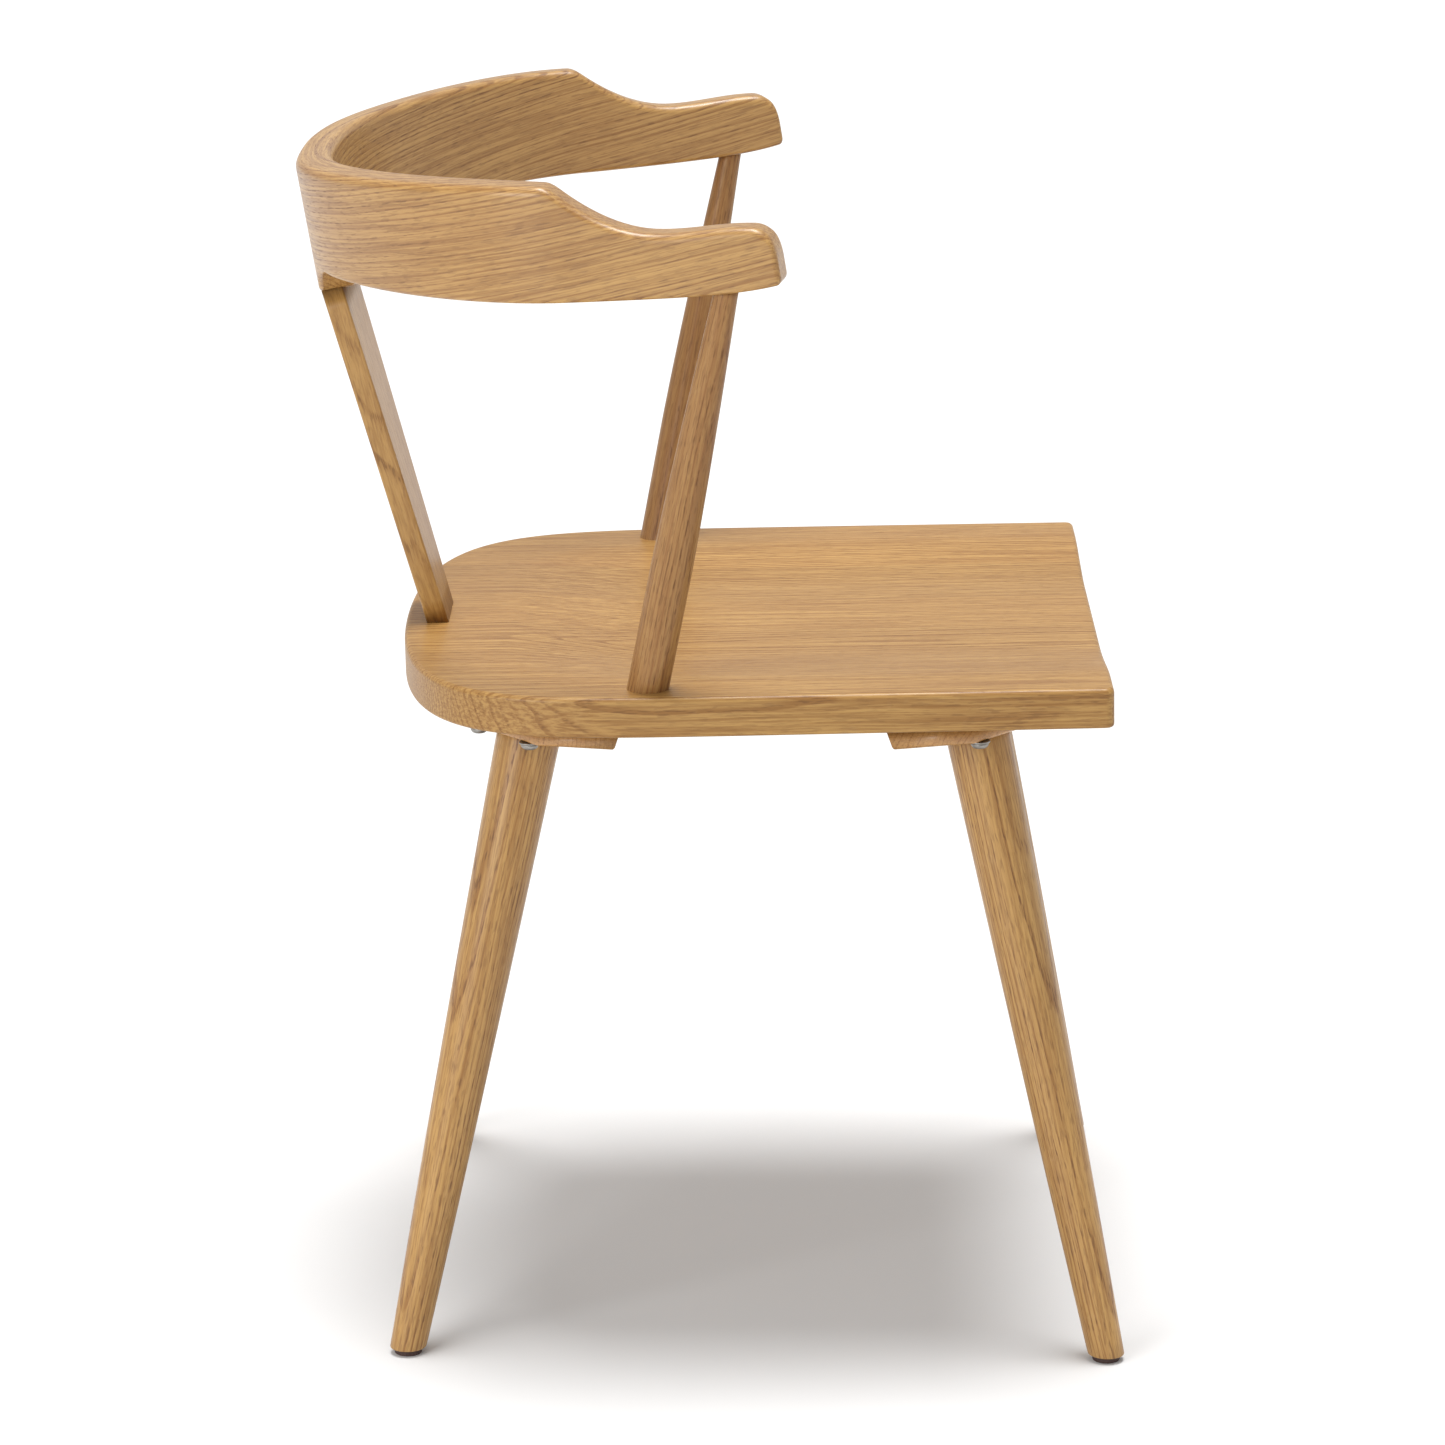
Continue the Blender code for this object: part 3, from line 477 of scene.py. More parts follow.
class Skin:
    """A closed surface made from rows of points. Each point also says where it lies in the tree."""

    def __init__(self):
        self.mesh = bmesh.new()
        self.grain = self.mesh.verts.layers.float_vector.new("grain")
        self.rows = []

    def row(self, points, grain):
        line = []
        for point, inside in zip(points, grain):
            vertex = self.mesh.verts.new(point)
            vertex[self.grain] = inside
            line.append(vertex)
        self.rows.append(line)

    def join(self, near, far):
        """Quads between two closed rows."""
        count = len(near)
        for i in range(count):
            j = (i + 1) % count
            self.mesh.faces.new((near[i], near[j], far[j], far[i]))

    def join_all(self):
        for near, far in zip(self.rows, self.rows[1:]):
            self.join(near, far)

    def close(self):
        """Quads between all rows, and a cap on each end."""
        self.join_all()
        self.mesh.faces.new(self.rows[0])
        self.mesh.faces.new(self.rows[-1])

    def build(self, name, node, paint, slot, weighted=True):
        """The finished piece, which stands for a node of the frame."""
        bmesh.ops.remove_doubles(self.mesh, verts=self.mesh.verts, dist=0.000002)
        bmesh.ops.recalc_face_normals(self.mesh, faces=self.mesh.faces)
        for face in self.mesh.faces:
            face.smooth = True
        data = bpy.data.meshes.new(name)
        self.mesh.to_mesh(data)
        self.mesh.free()
        data.materials.append(paint)
        piece = bpy.data.objects.new(name, data)
        bpy.context.scene.collection.objects.link(piece)
        if weighted:
            modifier = piece.modifiers.new("even shading", "WEIGHTED_NORMAL")
            modifier.weight = 80
            modifier.keep_sharp = True
        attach(piece, "root")
        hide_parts(node)


def quarter(radius, steps):
    """The rounding of an edge, from its low or outer end: (in from that end, in from the side)."""
    turns = [math.pi / 2 * k / steps for k in range(steps + 1)]
    return [(radius * (1 - math.cos(turn)), radius * (1 - math.sin(turn))) for turn in turns]


def section(width, depth, edges, face_steps, edge_steps):
    """A rounded rectangle as a list of (across, through), from 0 to width and 0 to depth. edges holds the
    radius of the corners at (0, 0), (width, 0), (width, depth) and (0, depth)."""
    corners = (
        (0.0, 0.0, math.pi),
        (width, 0.0, -math.pi / 2),
        (width, depth, 0.0),
        (0.0, depth, math.pi / 2),
    )
    points = []
    for i, ((x, y, start), radius) in enumerate(zip(corners, edges)):
        centre_x = x + (radius if x == 0.0 else -radius)
        centre_y = y + (radius if y == 0.0 else -radius)
        for k in range(edge_steps + 1):
            turn = start + k / edge_steps * math.pi / 2
            points.append((centre_x + radius * math.cos(turn), centre_y + radius * math.sin(turn)))
        nx, ny, next_start = corners[(i + 1) % 4]
        next_radius = edges[(i + 1) % 4]
        next_x = nx + (next_radius if nx == 0.0 else -next_radius) + next_radius * math.cos(next_start)
        next_y = ny + (next_radius if ny == 0.0 else -next_radius) + next_radius * math.sin(next_start)
        steps = face_steps[i % 2]
        last_x, last_y = points[-1]
        for k in range(1, steps):
            part = k / steps
            points.append((last_x + (next_x - last_x) * part, last_y + (next_y - last_y) * part))
    return points


class Spindle:
    """The axis and the outline of a turned node, read from its mesh in the frame."""

    def __init__(self, node):
        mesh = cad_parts[node].data
        points = np.unique(np.round([tuple(v.co) for v in mesh.vertices], 6), axis=0)
        kept = points
        for _ in range(2):
            centre = kept.mean(axis=0)
            direction = np.linalg.svd(kept - centre, full_matrices=False)[2][0]
            direction *= math.copysign(1.0, direction[2])
            along = (points - centre) @ direction
            around = np.linalg.norm(points - centre - np.outer(along, direction), axis=1)
            kept = points[around > 0.45 * around.max()]
        self.direction = Vector(direction)
        self.low = Vector(centre + along.min() * direction)
        self.along = along - along.min()
        self.around = around

    def rings(self):
        """(place, radius) of the outline's rings, from the low end to the top."""
        found = []
        for place in np.unique(np.round(self.along, 4)):
            radius = float(self.around[np.abs(self.along - place) < 0.0002].max())
            if radius > 0.45 * self.around.max() and (not found or place - found[-1][0] > 0.002):
                found.append((float(place), radius))
        return found


def turned_skin(low, axis, outline, sides, offset=(0.0, 0.0, 0.0), flatten=None, shape=None):
    """Rows about an axis, from an outline of (place, radius). offset is where the axis starts in the tree,
    flatten may move a row's points onto a level saw cut, and shape may change its radius by the turn."""
    turn_axes = axis.to_track_quat("Z", "Y").to_matrix()
    across, through = turn_axes.col[0], turn_axes.col[1]
    skin = Skin()
    for row, (place, radius) in enumerate(outline):
        points, grain = [], []
        for i in range(sides):
            turn = 2 * math.pi * i / sides
            reach = shape(row, turn) * radius if shape else radius
            x, y = reach * math.cos(turn), reach * math.sin(turn)
            point = low + axis * place + across * x + through * y
            points.append(flatten(row, point) if flatten else point)
            grain.append((offset[0] + x, offset[1] + y, offset[2] + place))
        skin.row(points, grain)
    return skin


# ---------------------------------------------------------------- seat


def seat_plane(sizes):
    """The seat's own frame: X to the sitter's left, Y from the front edge back, Z up from the rim."""
    return Matrix.Translation((0.0, SEAT_LOW.y, SEAT_HIGH.z)) @ Matrix.Rotation(-sizes.pitch, 4, "X")


def seat_outline(sizes):
    """The edge of the seat seen from above, as points some millimetres apart."""
    half = (SEAT_HIGH.x - SEAT_LOW.x) / 2
    front = half - sizes.front_taper
    corner = sizes.front_corner
    arc = corner * 0.45
    run, depth = sizes.side_run, sizes.depth
    turn = run + (depth - run) * sizes.side_pull
    pull = half * sizes.back_pull
    stops = [
        ((0.0, 0.0), (0.0, 0.0), (0.1, 0.0), 0.012),
        ((front - corner, 0.0), (front - corner - 0.1, 0.0), (front - arc, 0.0), 0.0018),
        ((front, corner), (front, arc), (front + sizes.front_taper / 2, run / 2), 0.009),
        ((half, run), (half, run * 0.7), (half, turn), 0.0065),
        ((0.0, depth), (pull, depth), (-pull, depth), 0.0065),
    ]
    points = []
    for (start, _, out, step), (end, into, _, _) in zip(stops, stops[1:]):
        curve = interpolate_bezier(*[Vector((*p, 0.0)) for p in (start, out, into, end)], 200)
        lengths = np.cumsum([0.0] + [(b - a).length for a, b in zip(curve, curve[1:])])
        count = max(3, round(lengths[-1] / step))
        for i in range(count):
            k = int(np.searchsorted(lengths, lengths[-1] * i / count))
            points.append(curve[min(k, len(curve) - 1)].to_2d())
    points.append(Vector((0.0, depth)))
    mirrored = [Vector((-p.x, p.y)) for p in reversed(points[1:-1])]
    return points + mirrored


def scoop_fall(sizes, x, y):
    """How far the hollow lies below the rim."""
    half = (SEAT_HIGH.x - SEAT_LOW.x) / 2 - sizes.scoop_rim
    end = sizes.depth - sizes.scoop_end_rim
    weight = smooth((half - abs(x)) / sizes.scoop_slope) * smooth((end - y) / sizes.scoop_end_slope)
    return max((sizes.scoop + 0.0008) * weight - 0.0008, 0.0)


def inward(outline, distance):
    """The outline moved in by a distance."""
    moved = []
    count = len(outline)
    for i, point in enumerate(outline):
        heading = (outline[(i + 1) % count] - outline[i - 1]).normalized()
        moved.append(point + Vector((-heading.y, heading.x)) * distance)
    return moved


class CHAIR_OT_seat(bpy.types.Operator):
    """Build the scooped seat, glued from oak staves that run from front to back"""

    bl_idname = "chair.seat"
    bl_label = "Seat"

    def execute(self, context):
        sizes = context.scene.chair_seat
        plane = seat_plane(sizes)
        outline = seat_outline(sizes)
        skin = Skin()

        def add(points, heights):
            flat = [Vector((p.x, p.y, z)) for p, z in zip(points, heights)]
            skin.row([plane @ p for p in flat], [(p.x, p.z, p.y) for p in flat])

        def ring(inset, share_in):
            edge = inward(outline, inset)
            core = [Vector((0.0, min(max(p.y, SEAT_CORE[0]), SEAT_CORE[1]))) for p in edge]
            return [a.lerp(b, share_in) for a, b in zip(edge, core)]

        for share_in in (1.0, 0.55, 0.12):
            points = ring(sizes.low_edge, share_in)
            add(points, [-sizes.thickness] * len(points))
        for rise, inset in quarter(sizes.low_edge, 5):
            points = ring(inset, 0.0)
            add(points, [rise - sizes.thickness] * len(points))
        for inset, drop in quarter(sizes.top_edge, 5):
            points = ring(inset, 0.0)
            add(points, [-scoop_fall(sizes, p.x, p.y) - drop for p in points])
        for k in range(1, SEAT_RINGS + 1):
            points = ring(sizes.top_edge, (k / SEAT_RINGS) ** 0.9)
            add(points, [-scoop_fall(sizes, p.x, p.y) for p in points])
        skin.join_all()
        skin.build("seat_board", "seat", oak_for("seat"), "oak")
        return {"FINISHED"}


# ---------------------------------------------------------------- rail


class RailShape:
    """Every place on the rail, from the left tip round the back to the right tip."""

    def __init__(self, sizes):
        self.sizes = sizes
        self.shoulder = RAIL_HIGH.z - SHOULDER_EASE
        self.datum = self.shoulder - sizes.datum_drop
        half = RAIL_HIGH.x + TIP_EASE
        tip_y = self.back_y() - sizes.reach
        self.tip = Vector((half, tip_y))
        toe = Vector((-math.sin(sizes.toe), math.cos(sizes.toe)))
        shoulder = self.tip + toe * sizes.arm
        turn = Vector((half - sizes.turn_inset, self.back_y() - sizes.turn_depth))
        heading = Vector((-math.cos(sizes.turn_angle), math.sin(sizes.turn_angle)))
        rear = Vector((0.0, self.back_y()))
        leave, enter = toe * SIDE_BEND[0], heading * SIDE_BEND[1]
        side = interpolate_bezier(shoulder, shoulder + leave, turn - enter, turn, 160)
        leave, enter = heading * BACK_BEND[0], Vector((-BACK_BEND[1], 0.0))
        rest = interpolate_bezier(turn, turn + leave, rear - enter, rear, 160)
        self.line = [self.tip] + [point.to_2d() for point in side + rest[1:]]
        self.places = np.cumsum([0.0] + [(b - a).length for a, b in zip(self.line, self.line[1:])])
        self.run = float(self.places[-1])
        self.shoulder_x = self.line[1].x
        self.back_low = self.top(self.run, 0.0) - sizes.back_height
        self.tongue_low = self.back_low - sizes.tongue_drop

    def back_y(self):
        """The rearmost place of the plan, at its own height. The lean carries the top edge further back."""
        sizes = self.sizes
        rise = self.shoulder - sizes.top_fall - BACK_EASE - self.datum
        return RAIL_HIGH.y - rise * math.tan(sizes.lean)

    def on_plan(self, run):
        """The place, seen from above, at a distance from the tip."""
        return Vector([float(np.interp(run, self.places, [p[i] for p in self.line])) for i in (0, 1)])

    def plan(self, run):
        """Place and outward normal in plan at a distance from the tip."""
        reach = 0.006
        ahead, behind = min(run + reach, self.run), max(run - reach, 0.0)
        heading = (self.on_plan(ahead) - self.on_plan(behind)).normalized()
        if run > self.run - 1e-6:
            heading = Vector((-1.0, 0.0))
        return self.on_plan(run), Vector((heading.y, -heading.x))

    def top(self, run, x):
        """Height of the top edge: the tip's corner, the arm's dip, the shoulder, then the back."""
        s = self.sizes
        dip = self.shoulder - s.dip_fall
        crown = min(x / self.shoulder_x, 1.0) ** s.top_crown
        ridge = self.shoulder - s.top_fall * (1.0 - crown)
        dip_run = s.arm - s.dip_span
        if run > dip_run:
            climb = dip + s.dip_fall * ((run - dip_run) / s.dip_span) ** 2
            mix = max(s.shoulder_blend - abs(climb - ridge), 0.0) / s.shoulder_blend
            return min(climb, ridge) - mix * mix * s.shoulder_blend / 4
        height = dip + s.tip_lift * smooth((dip_run - run) / (dip_run - s.tip_corner))
        if run < s.tip_corner:
            short = s.tip_corner - run
            height -= s.tip_corner - math.sqrt(max(s.tip_corner**2 - short**2, 0.0))
        return height

    def low(self, run, x, y):
        """Height of the lower edge, which rises towards the tips and hangs down as a tongue."""
        s = self.sizes
        ahead = self.back_y() - y
        height = self.back_low + s.low_rise * ahead / s.reach
        height += s.tip_kick * math.exp(-run / s.tip_kick_run)
        spread = min(max((s.tongue_half + s.tongue_flare - x) / s.tongue_flare, 0.0), 1.0)
        bow = ahead * math.sin(s.lean) * math.cos(s.lean)
        return height + (self.tongue_low + bow - height) * spread**2

    def slant(self, run):
        """How far the grain has climbed across the rail, from the back to here."""
        return GRAIN_CLIMB * (1.0 - run / self.run) ** 1.6

    def column(self, run, side, inset=0.0):
        """The points of one section and their places in the tree."""
        s = self.sizes
        point, normal = self.plan(run)
        low = self.low(run, point.x, point.y) + inset
        high = self.top(run, point.x) - inset
        lean = math.tan(s.lean)
        up = Vector((0.0, lean, 1.0))
        face = Vector((normal.y, -normal.x, 0.0)).cross(up).normalized()
        if face.dot(Vector((normal.x, normal.y, 0.0))) < 0:
            face.negate()
        tall = high - low
        depth = s.thickness - 2 * inset
        top_edge = max(min(s.top_edge - inset * 0.4, depth * 0.45), 0.001)
        low_edge = max(s.low_edge - inset * 0.4, 0.0008)
        shape = section(tall, depth, (low_edge, top_edge, top_edge, low_edge), (8, 3), 5)
        points, grain = [], []
        for across, through in shape:
            height = low + across
            place = Vector((point.x, point.y + (height - self.datum) * lean, height))
            place -= face * (through + inset)
            place.x *= side
            points.append(place)
            climb = height - self.shoulder + 0.04 - self.slant(run)
            grain.append((climb, through + inset, side * (self.run - run)))
        return points, grain

    def runs(self):
        """Distances from the tip, close together at the corner and the shoulder."""
        s = self.sizes
        corner = [s.tip_corner * (1 - math.cos(i * math.pi / 24)) for i in range(1, 12)]
        plain = list(np.linspace(s.tip_corner, self.run, 96))
        shoulder = list(np.linspace(s.arm - 0.02, s.arm + 0.012, 13))
        found = [run for run in sorted(corner + plain + shoulder) if run > s.end_edge + 0.0004]
        kept = [found[0]]
        for run in found[1:]:
            if run - kept[-1] > 0.0011:
                kept.append(run)
        kept[-1] = self.run
        return kept


class CHAIR_OT_rail(bpy.types.Operator):
    """Build the bent rail: back and both arms in one piece"""

    bl_idname = "chair.rail"
    bl_label = "Back rail"

    def execute(self, context):
        sizes = context.scene.chair_rail
        shape = RailShape(sizes)
        columns = quarter(sizes.end_edge, 6) + [(run, 0.0) for run in shape.runs()]
        skin = Skin()
        for run, inset in columns:
            skin.row(*shape.column(run, 1, inset))
        for run, inset in reversed(columns[:-1]):
            skin.row(*shape.column(run, -1, inset))
        skin.close()
        skin.build("bent_rail", "back_rail", oak_for("rail"), "oak")
        return {"FINISHED"}


# ---------------------------------------------------------------- splat and spindles


class CHAIR_OT_splat(bpy.types.Operator):
    """Build the flat splat between the seat and the rail"""

    bl_idname = "chair.splat"
    bl_label = "Splat"

    def execute(self, context):
        sizes = context.scene.chair_turning
        low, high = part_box("back_splat")
        thick = sizes.splat_thickness
        rise = high.z - low.z
        slope = (high.y - low.y) / rise
        for _ in range(4):
            slope = (high.y - low.y - thick * math.sqrt(1 + slope * slope)) / (rise - 0.0015)
        up = Vector((0.0, slope, 1.0)).normalized()
        out = Vector((0.0, -up.z, up.y))
        base = Vector((0.0, low.y, low.z + 0.0009)) - out * thick / 2
        span = rise / up.z
        top_width, base_width = high.x - low.x, sizes.splat_base
        edges = (sizes.splat_edge,) * 4
        skin = Skin()
        rows = 14
        for k in range(rows + 1):
            along = -SINK + (span + 2 * SINK) * k / rows
            width = base_width + (top_width - base_width) * along / span
            points, grain = [], []
            for across, through in section(width, thick, edges, (6, 2), 4):
                x, y = across - width / 2, through - thick / 2
                points.append(base + up * along + Vector((x, 0.0, 0.0)) - out * y)
                grain.append((y + 0.013, x + 0.31, along + 3.1))
            skin.row(points, grain)
        skin.close()
        skin.build("splat_board", "back_splat", oak_for("splat"), "oak")
        return {"FINISHED"}


class CHAIR_OT_spindles(bpy.types.Operator):
    """Build the two turned spindles under the arms"""

    bl_idname = "chair.spindles"
    bl_label = "Arm spindles"

    def execute(self, context):
        sizes = context.scene.chair_turning
        for side, sign in SIDES:
            node = f"arm_spindle_{side}"
            spindle = Spindle(node)
            rings = [(place, radius) for place, radius in spindle.rings() if radius > SPINDLE_LEAST]
            places = np.linspace(SPINDLE_START, rings[-1][0], 60)
            radii = np.interp(places, *zip(*rings)).tolist()
            middle = [sum(radii[i - 1:i + 2]) / 3 for i in range(1, len(radii) - 1)]
            outline = list(zip(places.tolist(), [radii[0], *middle, radii[-1]]))
            # Each spindle comes from its own place in the tree
            offset = (0.004 * sign, 0.021 + 0.003 * sign, 5.0 + 1.7 * sign)
            skin = turned_skin(spindle.low, spindle.direction, outline, sizes.sides, offset)
            skin.close()
            skin.build(f"spindle_{side}", node, oak_for("spindle"), "oak", weighted=False)
        return {"FINISHED"}


# ---------------------------------------------------------------- legs and what holds them


class CHAIR_OT_legs(bpy.types.Operator):
    """Build the four turned legs, sawn level at the floor"""

    bl_idname = "chair.legs"
    bl_label = "Legs"

    def execute(self, context):
        sizes = context.scene.chair_turning
        for k, corner in enumerate(CORNERS):
            node = f"leg_{corner}"
            spindle = Spindle(node)
            rings = spindle.rings()
            full = [(place, radius) for place, radius in rings if radius > LEG_LEAST or place < 0.3]
            top = max(place for place, radius in full if radius > 0.018)
            foot_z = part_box(node)[0].z
            taper = [(place, radius) for place, radius in full if 0.03 < place <= top]
            curve = np.polyfit([p for p, _ in taper], [r for _, r in taper], 2)
            rounding = quarter(sizes.foot_edge, 4)
            level = [foot_z + rise for rise, _ in rounding]
            start = (foot_z - spindle.low.z) / spindle.direction.z
            outline = [(start + rise, float(np.polyval(curve, start)) - inset) for rise, inset in rounding]
            for place in np.linspace(start + 0.008, top, LEG_STEPS + 1).tolist():
                outline.append((place, float(np.polyval(curve, place))))

            def flatten(row, point):
                if row >= len(level):
                    return point
                return point + spindle.direction * ((level[row] - point.z) / spindle.direction.z)

            # Each leg comes from its own place in the tree
            offset = (0.006 - 0.003 * k, 0.018 + 0.004 * k, 9.0 + 1.3 * k)
            skin = turned_skin(spindle.low, spindle.direction, outline, sizes.sides, offset, flatten)
            skin.close()
            skin.build(f"turned_leg_{corner}", node, oak_for("leg"), "oak", weighted=False)
        return {"FINISHED"}


class CHAIR_OT_blocks(bpy.types.Operator):
    """Build the four blocks that hold the legs under the seat"""

    bl_idname = "chair.blocks"
    bl_label = "Leg blocks"

    def execute(self, context):
        sizes = context.scene.chair_turning
        plane = seat_plane(context.scene.chair_seat)
        into = plane.inverted()
        for k, corner in enumerate(CORNERS):
            node = f"leg_block_{corner}"
            points = [into @ v.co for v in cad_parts[node].data.vertices]
            top = max(p.z for p in points)
            low = min(p.z for p in points)
            hull = convex_hull_2d([p.to_2d() for p in points])
            outline = [points[i].to_2d() for i in hull]
            area = sum(a.x * b.y - b.x * a.y for a, b in zip(outline, outline[1:] + outline[:1]))
            if area < 0:
                outline.reverse()
            pairs = zip(outline, outline[-1:] + outline[:-1])
            kept = [point for point, before in pairs if (point - before).length > SAME_PLACE]
            skin = Skin()
            front = corner.startswith("front")
            free = max(p.y for p in kept) if front else min(p.y for p in kept)

            def add(inset, height):
                reach = sizes.block_bevel * (top - height) / (top - low)
                ys = [min(p.y, free - reach) if front else max(p.y, free + reach) for p in kept]
                sloped = [Vector((p.x, y)) for p, y in zip(kept, ys)]
                moved = [Vector((p.x, p.y, height)) for p in inward(sloped, inset)]
                skin.row([plane @ p for p in moved],
                         [(p.y + 0.02 * k, p.z + 0.05, p.x + 14.0 + k) for p in moved])

            for rise, inset in quarter(sizes.block_edge, 4):
                add(inset, low + rise)
            add(0.0, top)
            skin.close()
            skin.build(f"block_{corner}", node, oak_for("block"), "oak_underside")
        return {"FINISHED"}


class CHAIR_OT_glides(bpy.types.Operator):
    """Build the moulded glides under the feet"""

    bl_idname = "chair.glides"
    bl_label = "Foot glides"

    def execute(self, context):
        sizes = context.scene.chair_turning
        tint = tuple(context.scene.chair_finish.glide)
        for corner in CORNERS:
            node = f"foot_glide_{corner}"
            low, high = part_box(node)
            radius = (high.x - low.x) / 2
            centre = Vector(((low.x + high.x) / 2, (low.y + high.y) / 2, low.z))
            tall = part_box(f"leg_{corner}")[0].z + GAP - low.z
            edge = sizes.glide_edge
            outline = [(0.0, radius * 0.55)]
            outline += [(rise, radius - inset) for rise, inset in quarter(edge, 4)]
            soft = edge * 0.3
            outline += [(tall - edge, radius), (tall - soft, radius - soft), (tall, radius - edge)]
            skin = turned_skin(centre, Vector((0.0, 0.0, 1.0)), outline, 48)
            skin.close()
            skin.build(f"glide_{corner}", node, material("glide nylon", moulded, tint), "glide_plastic")
        return {"FINISHED"}


class CHAIR_OT_screws(bpy.types.Operator):
    """Build the screw heads and washers that hold the blocks"""

    bl_idname = "chair.screws"
    bl_label = "Screws and washers"

    def execute(self, context):
        sizes = context.scene.chair_turning
        down = seat_plane(context.scene.chair_seat).to_3x3() @ Vector((0.0, 0.0, -1.0))
        nickel = material("nickel plate", plated, tuple(context.scene.chair_finish.nickel), 0.34)
        for corner in CORNERS:
            for which in SCREWS:
                label = f"{corner}_{which}"
                low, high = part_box(f"washer_{label}")
                centre = (low + high) / 2
                radius = (high.x - low.x) / 2
                thick = (high.z - low.z) * 0.72
                top = -thick / 2 - GAP
                bore = radius * 0.48
                ring = [(top, bore), (top, radius - 0.0003), (top + 0.0002, radius),
                        (thick / 2 - 0.0003, radius), (thick / 2, radius - 0.0004), (thick / 2, bore)]
                washer = turned_skin(centre, down, ring, 40)
                washer.join_all()
                washer.join(washer.rows[-1], washer.rows[0])
                washer.build(f"plain_washer_{label}", f"washer_{label}", nickel, "nickel_steel")

                screw_low, screw_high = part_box(f"screw_{label}")
                head = (screw_high.x - screw_low.x) / 2
                tall = centre.z - thick / 2 - screw_low.z
                start = thick / 2 + 0.0001
                hollow = sizes.recess_radius
                crown = hollow * 1.25
                outline = [(start - 0.004, SHANK), (start, SHANK), (start, head - LIP), (start + LIP, head)]
                for i in range(1, 7):
                    turn = math.pi / 2 * i / 6
                    rise = (tall - 0.0006) * math.sin(turn)
                    outline.append((start + LIP + rise, crown + (head - crown) * math.cos(turn)))
                outline += [(start + tall - LIP, hollow), (start + tall - sizes.recess, hollow),
                            (start + tall - sizes.recess - LIP, hollow * 0.3)]
                last = len(outline)

                def hexagon(row, turn):
                    if row < last - 3:
                        return 1.0
                    return math.cos(math.pi / 6) / math.cos((turn % (math.pi / 3)) - math.pi / 6)

                screw = turned_skin(centre, down, outline, 48, shape=hexagon)
                screw.close()
                screw.build(f"screw_head_{label}", f"screw_{label}", nickel, "nickel_steel")
        return {"FINISHED"}


class CHAIR_OT_joinery(bpy.types.Operator):
    """Finish the dowels and threaded inserts that are hidden inside the joints"""

    bl_idname = "chair.joinery"
    bl_label = "Dowels and inserts"

    def execute(self, context):
        zinc = material("zinc plate", plated, tuple(context.scene.chair_finish.zinc), 0.38)
        pin = material("dowel wood", dowel_wood, context.scene.chair_finish)
        for node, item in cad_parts.items():
            if node.startswith(("insert_", "splat_dowel_")):
                item.data.materials.clear()
                item.data.materials.append(zinc if node.startswith("insert_") else pin)
        return {"FINISHED"}


# ---------------------------------------------------------------- stage


def add_light(name, kind, place, target, settings):
    """A light that shines from its place towards a target."""
    data = bpy.data.lights.new(name, kind)
    for key, value in settings.items():
        setattr(data, key, value)
    light = bpy.data.objects.new(name, data)
    light.location = place
    light.rotation_euler = (Vector(target) - Vector(place)).to_track_quat("-Z", "Y").to_euler()
    bpy.context.scene.collection.objects.link(light)


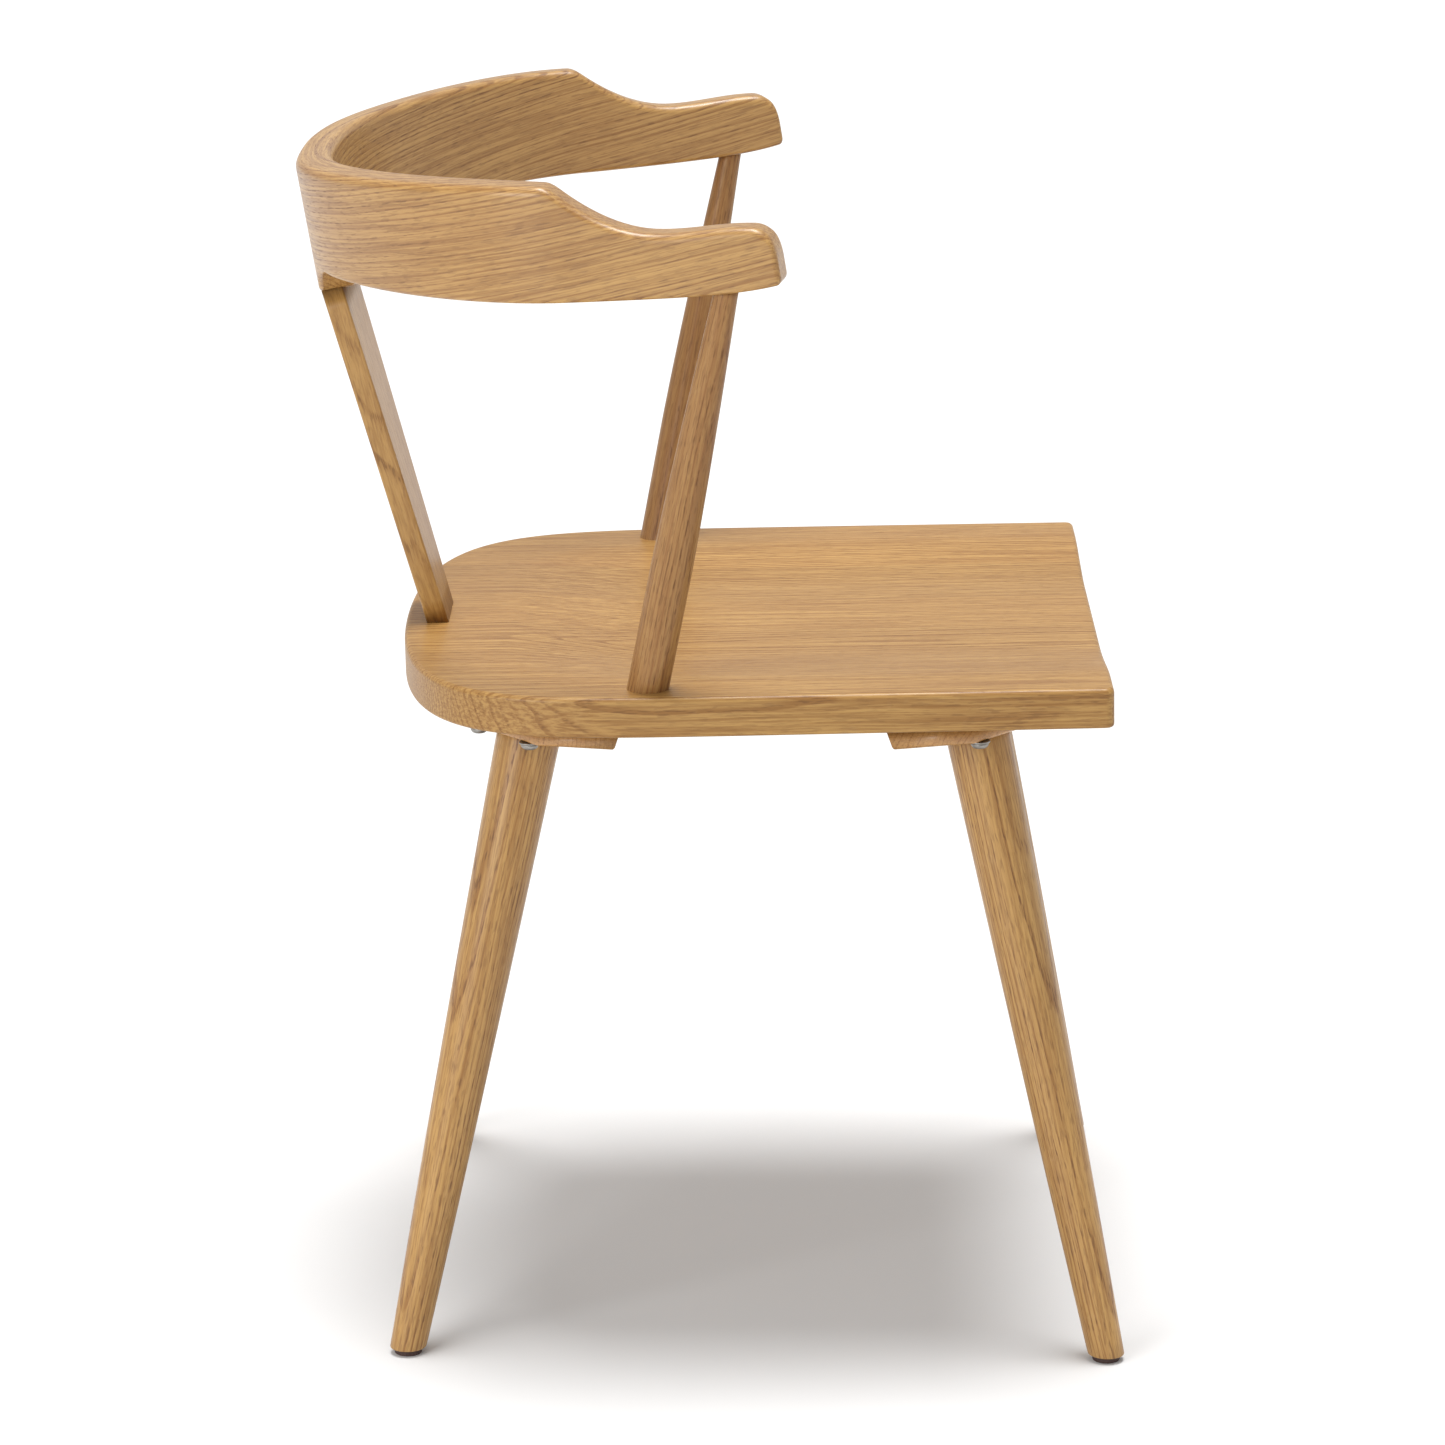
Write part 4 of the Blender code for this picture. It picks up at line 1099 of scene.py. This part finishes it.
class CHAIR_OT_stage(bpy.types.Operator):
    """Set out the plain pale floor, the soft studio light and the camera"""

    bl_idname = "chair.stage"
    bl_label = "Stage"

    def execute(self, context):
        stage = context.scene.chair_stage
        builder = bmesh.new()
        bmesh.ops.create_grid(builder, x_segments=4, y_segments=4, size=30.0)
        data = bpy.data.meshes.new("studio_floor")
        builder.to_mesh(data)
        builder.free()
        floor = bpy.data.objects.new("studio_floor", data)
        data.materials.append(plain_floor("floor paint", tuple(stage.floor)))
        context.scene.collection.objects.link(floor)

        world = bpy.data.worlds.new("white surround")
        world.use_nodes = True
        background = world.node_tree.nodes["Background"]
        background.inputs["Color"].default_value = (1.0, 1.0, 1.0, 1.0)
        background.inputs["Strength"].default_value = stage.sky
        context.scene.world = world
        add_light("overhead_softbox", "SUN", OVERHEAD_PLACE, (0.0, 0.0, 0.0),
                  {"energy": stage.overhead, "angle": stage.overhead_spread})
        add_light("side_softbox", "AREA", SIDE_PLACE, (0.0, 0.0, 0.5),
                  {"shape": "SQUARE", "size": 1.6, "energy": stage.side})

        lens = bpy.data.cameras.new("camera")
        lens.sensor_width = 36.0
        lens.sensor_height = 36.0
        lens.lens = stage.focal
        lens.clip_end = 100.0
        camera = bpy.data.objects.new("camera", lens)
        camera.location = (-stage.distance, stage.along, stage.height)
        level = math.cos(stage.dip)
        aim = Vector((level * math.cos(stage.swing), level * math.sin(stage.swing), -math.sin(stage.dip)))
        camera.rotation_euler = aim.to_track_quat("-Z", "Y").to_euler()
        context.scene.collection.objects.link(camera)
        context.scene.camera = camera
        context.scene.view_settings.view_transform = "Standard"
        return {"FINISHED"}


# ---------------------------------------------------------------- panel


class CHAIR_PT_panel(bpy.types.Panel):
    """The chair's pieces, in the order in which they are built"""

    bl_label = "Oak dining armchair"
    bl_idname = "CHAIR_PT_panel"
    bl_space_type = "VIEW_3D"
    bl_region_type = "UI"
    bl_category = "Chair"

    def draw(self, context):
        column = self.layout.column(align=True)
        for operator in OPERATORS:
            column.operator(operator.bl_idname)
        for key, group in GROUPS.items():
            box = self.layout.box()
            box.label(text=group.__doc__)
            for name in group.__annotations__:
                box.prop(getattr(context.scene, key), name)


OPERATORS = (
    CHAIR_OT_seat,
    CHAIR_OT_rail,
    CHAIR_OT_splat,
    CHAIR_OT_spindles,
    CHAIR_OT_legs,
    CHAIR_OT_blocks,
    CHAIR_OT_glides,
    CHAIR_OT_screws,
    CHAIR_OT_joinery,
    CHAIR_OT_stage,
)
CLASSES = (*GROUPS.values(), *OPERATORS, CHAIR_PT_panel)


def register():
    for item in CLASSES:
        bpy.utils.register_class(item)
    for key, group in GROUPS.items():
        setattr(bpy.types.Scene, key, PointerProperty(type=group))


def unregister():
    for key in GROUPS:
        delattr(bpy.types.Scene, key)
    for item in reversed(CLASSES):
        bpy.utils.unregister_class(item)


def main():
    register()
    for operator in OPERATORS:
        group, name = operator.bl_idname.split(".")
        getattr(getattr(bpy.ops, group), name)()


if __name__ == "__main__":
    main()
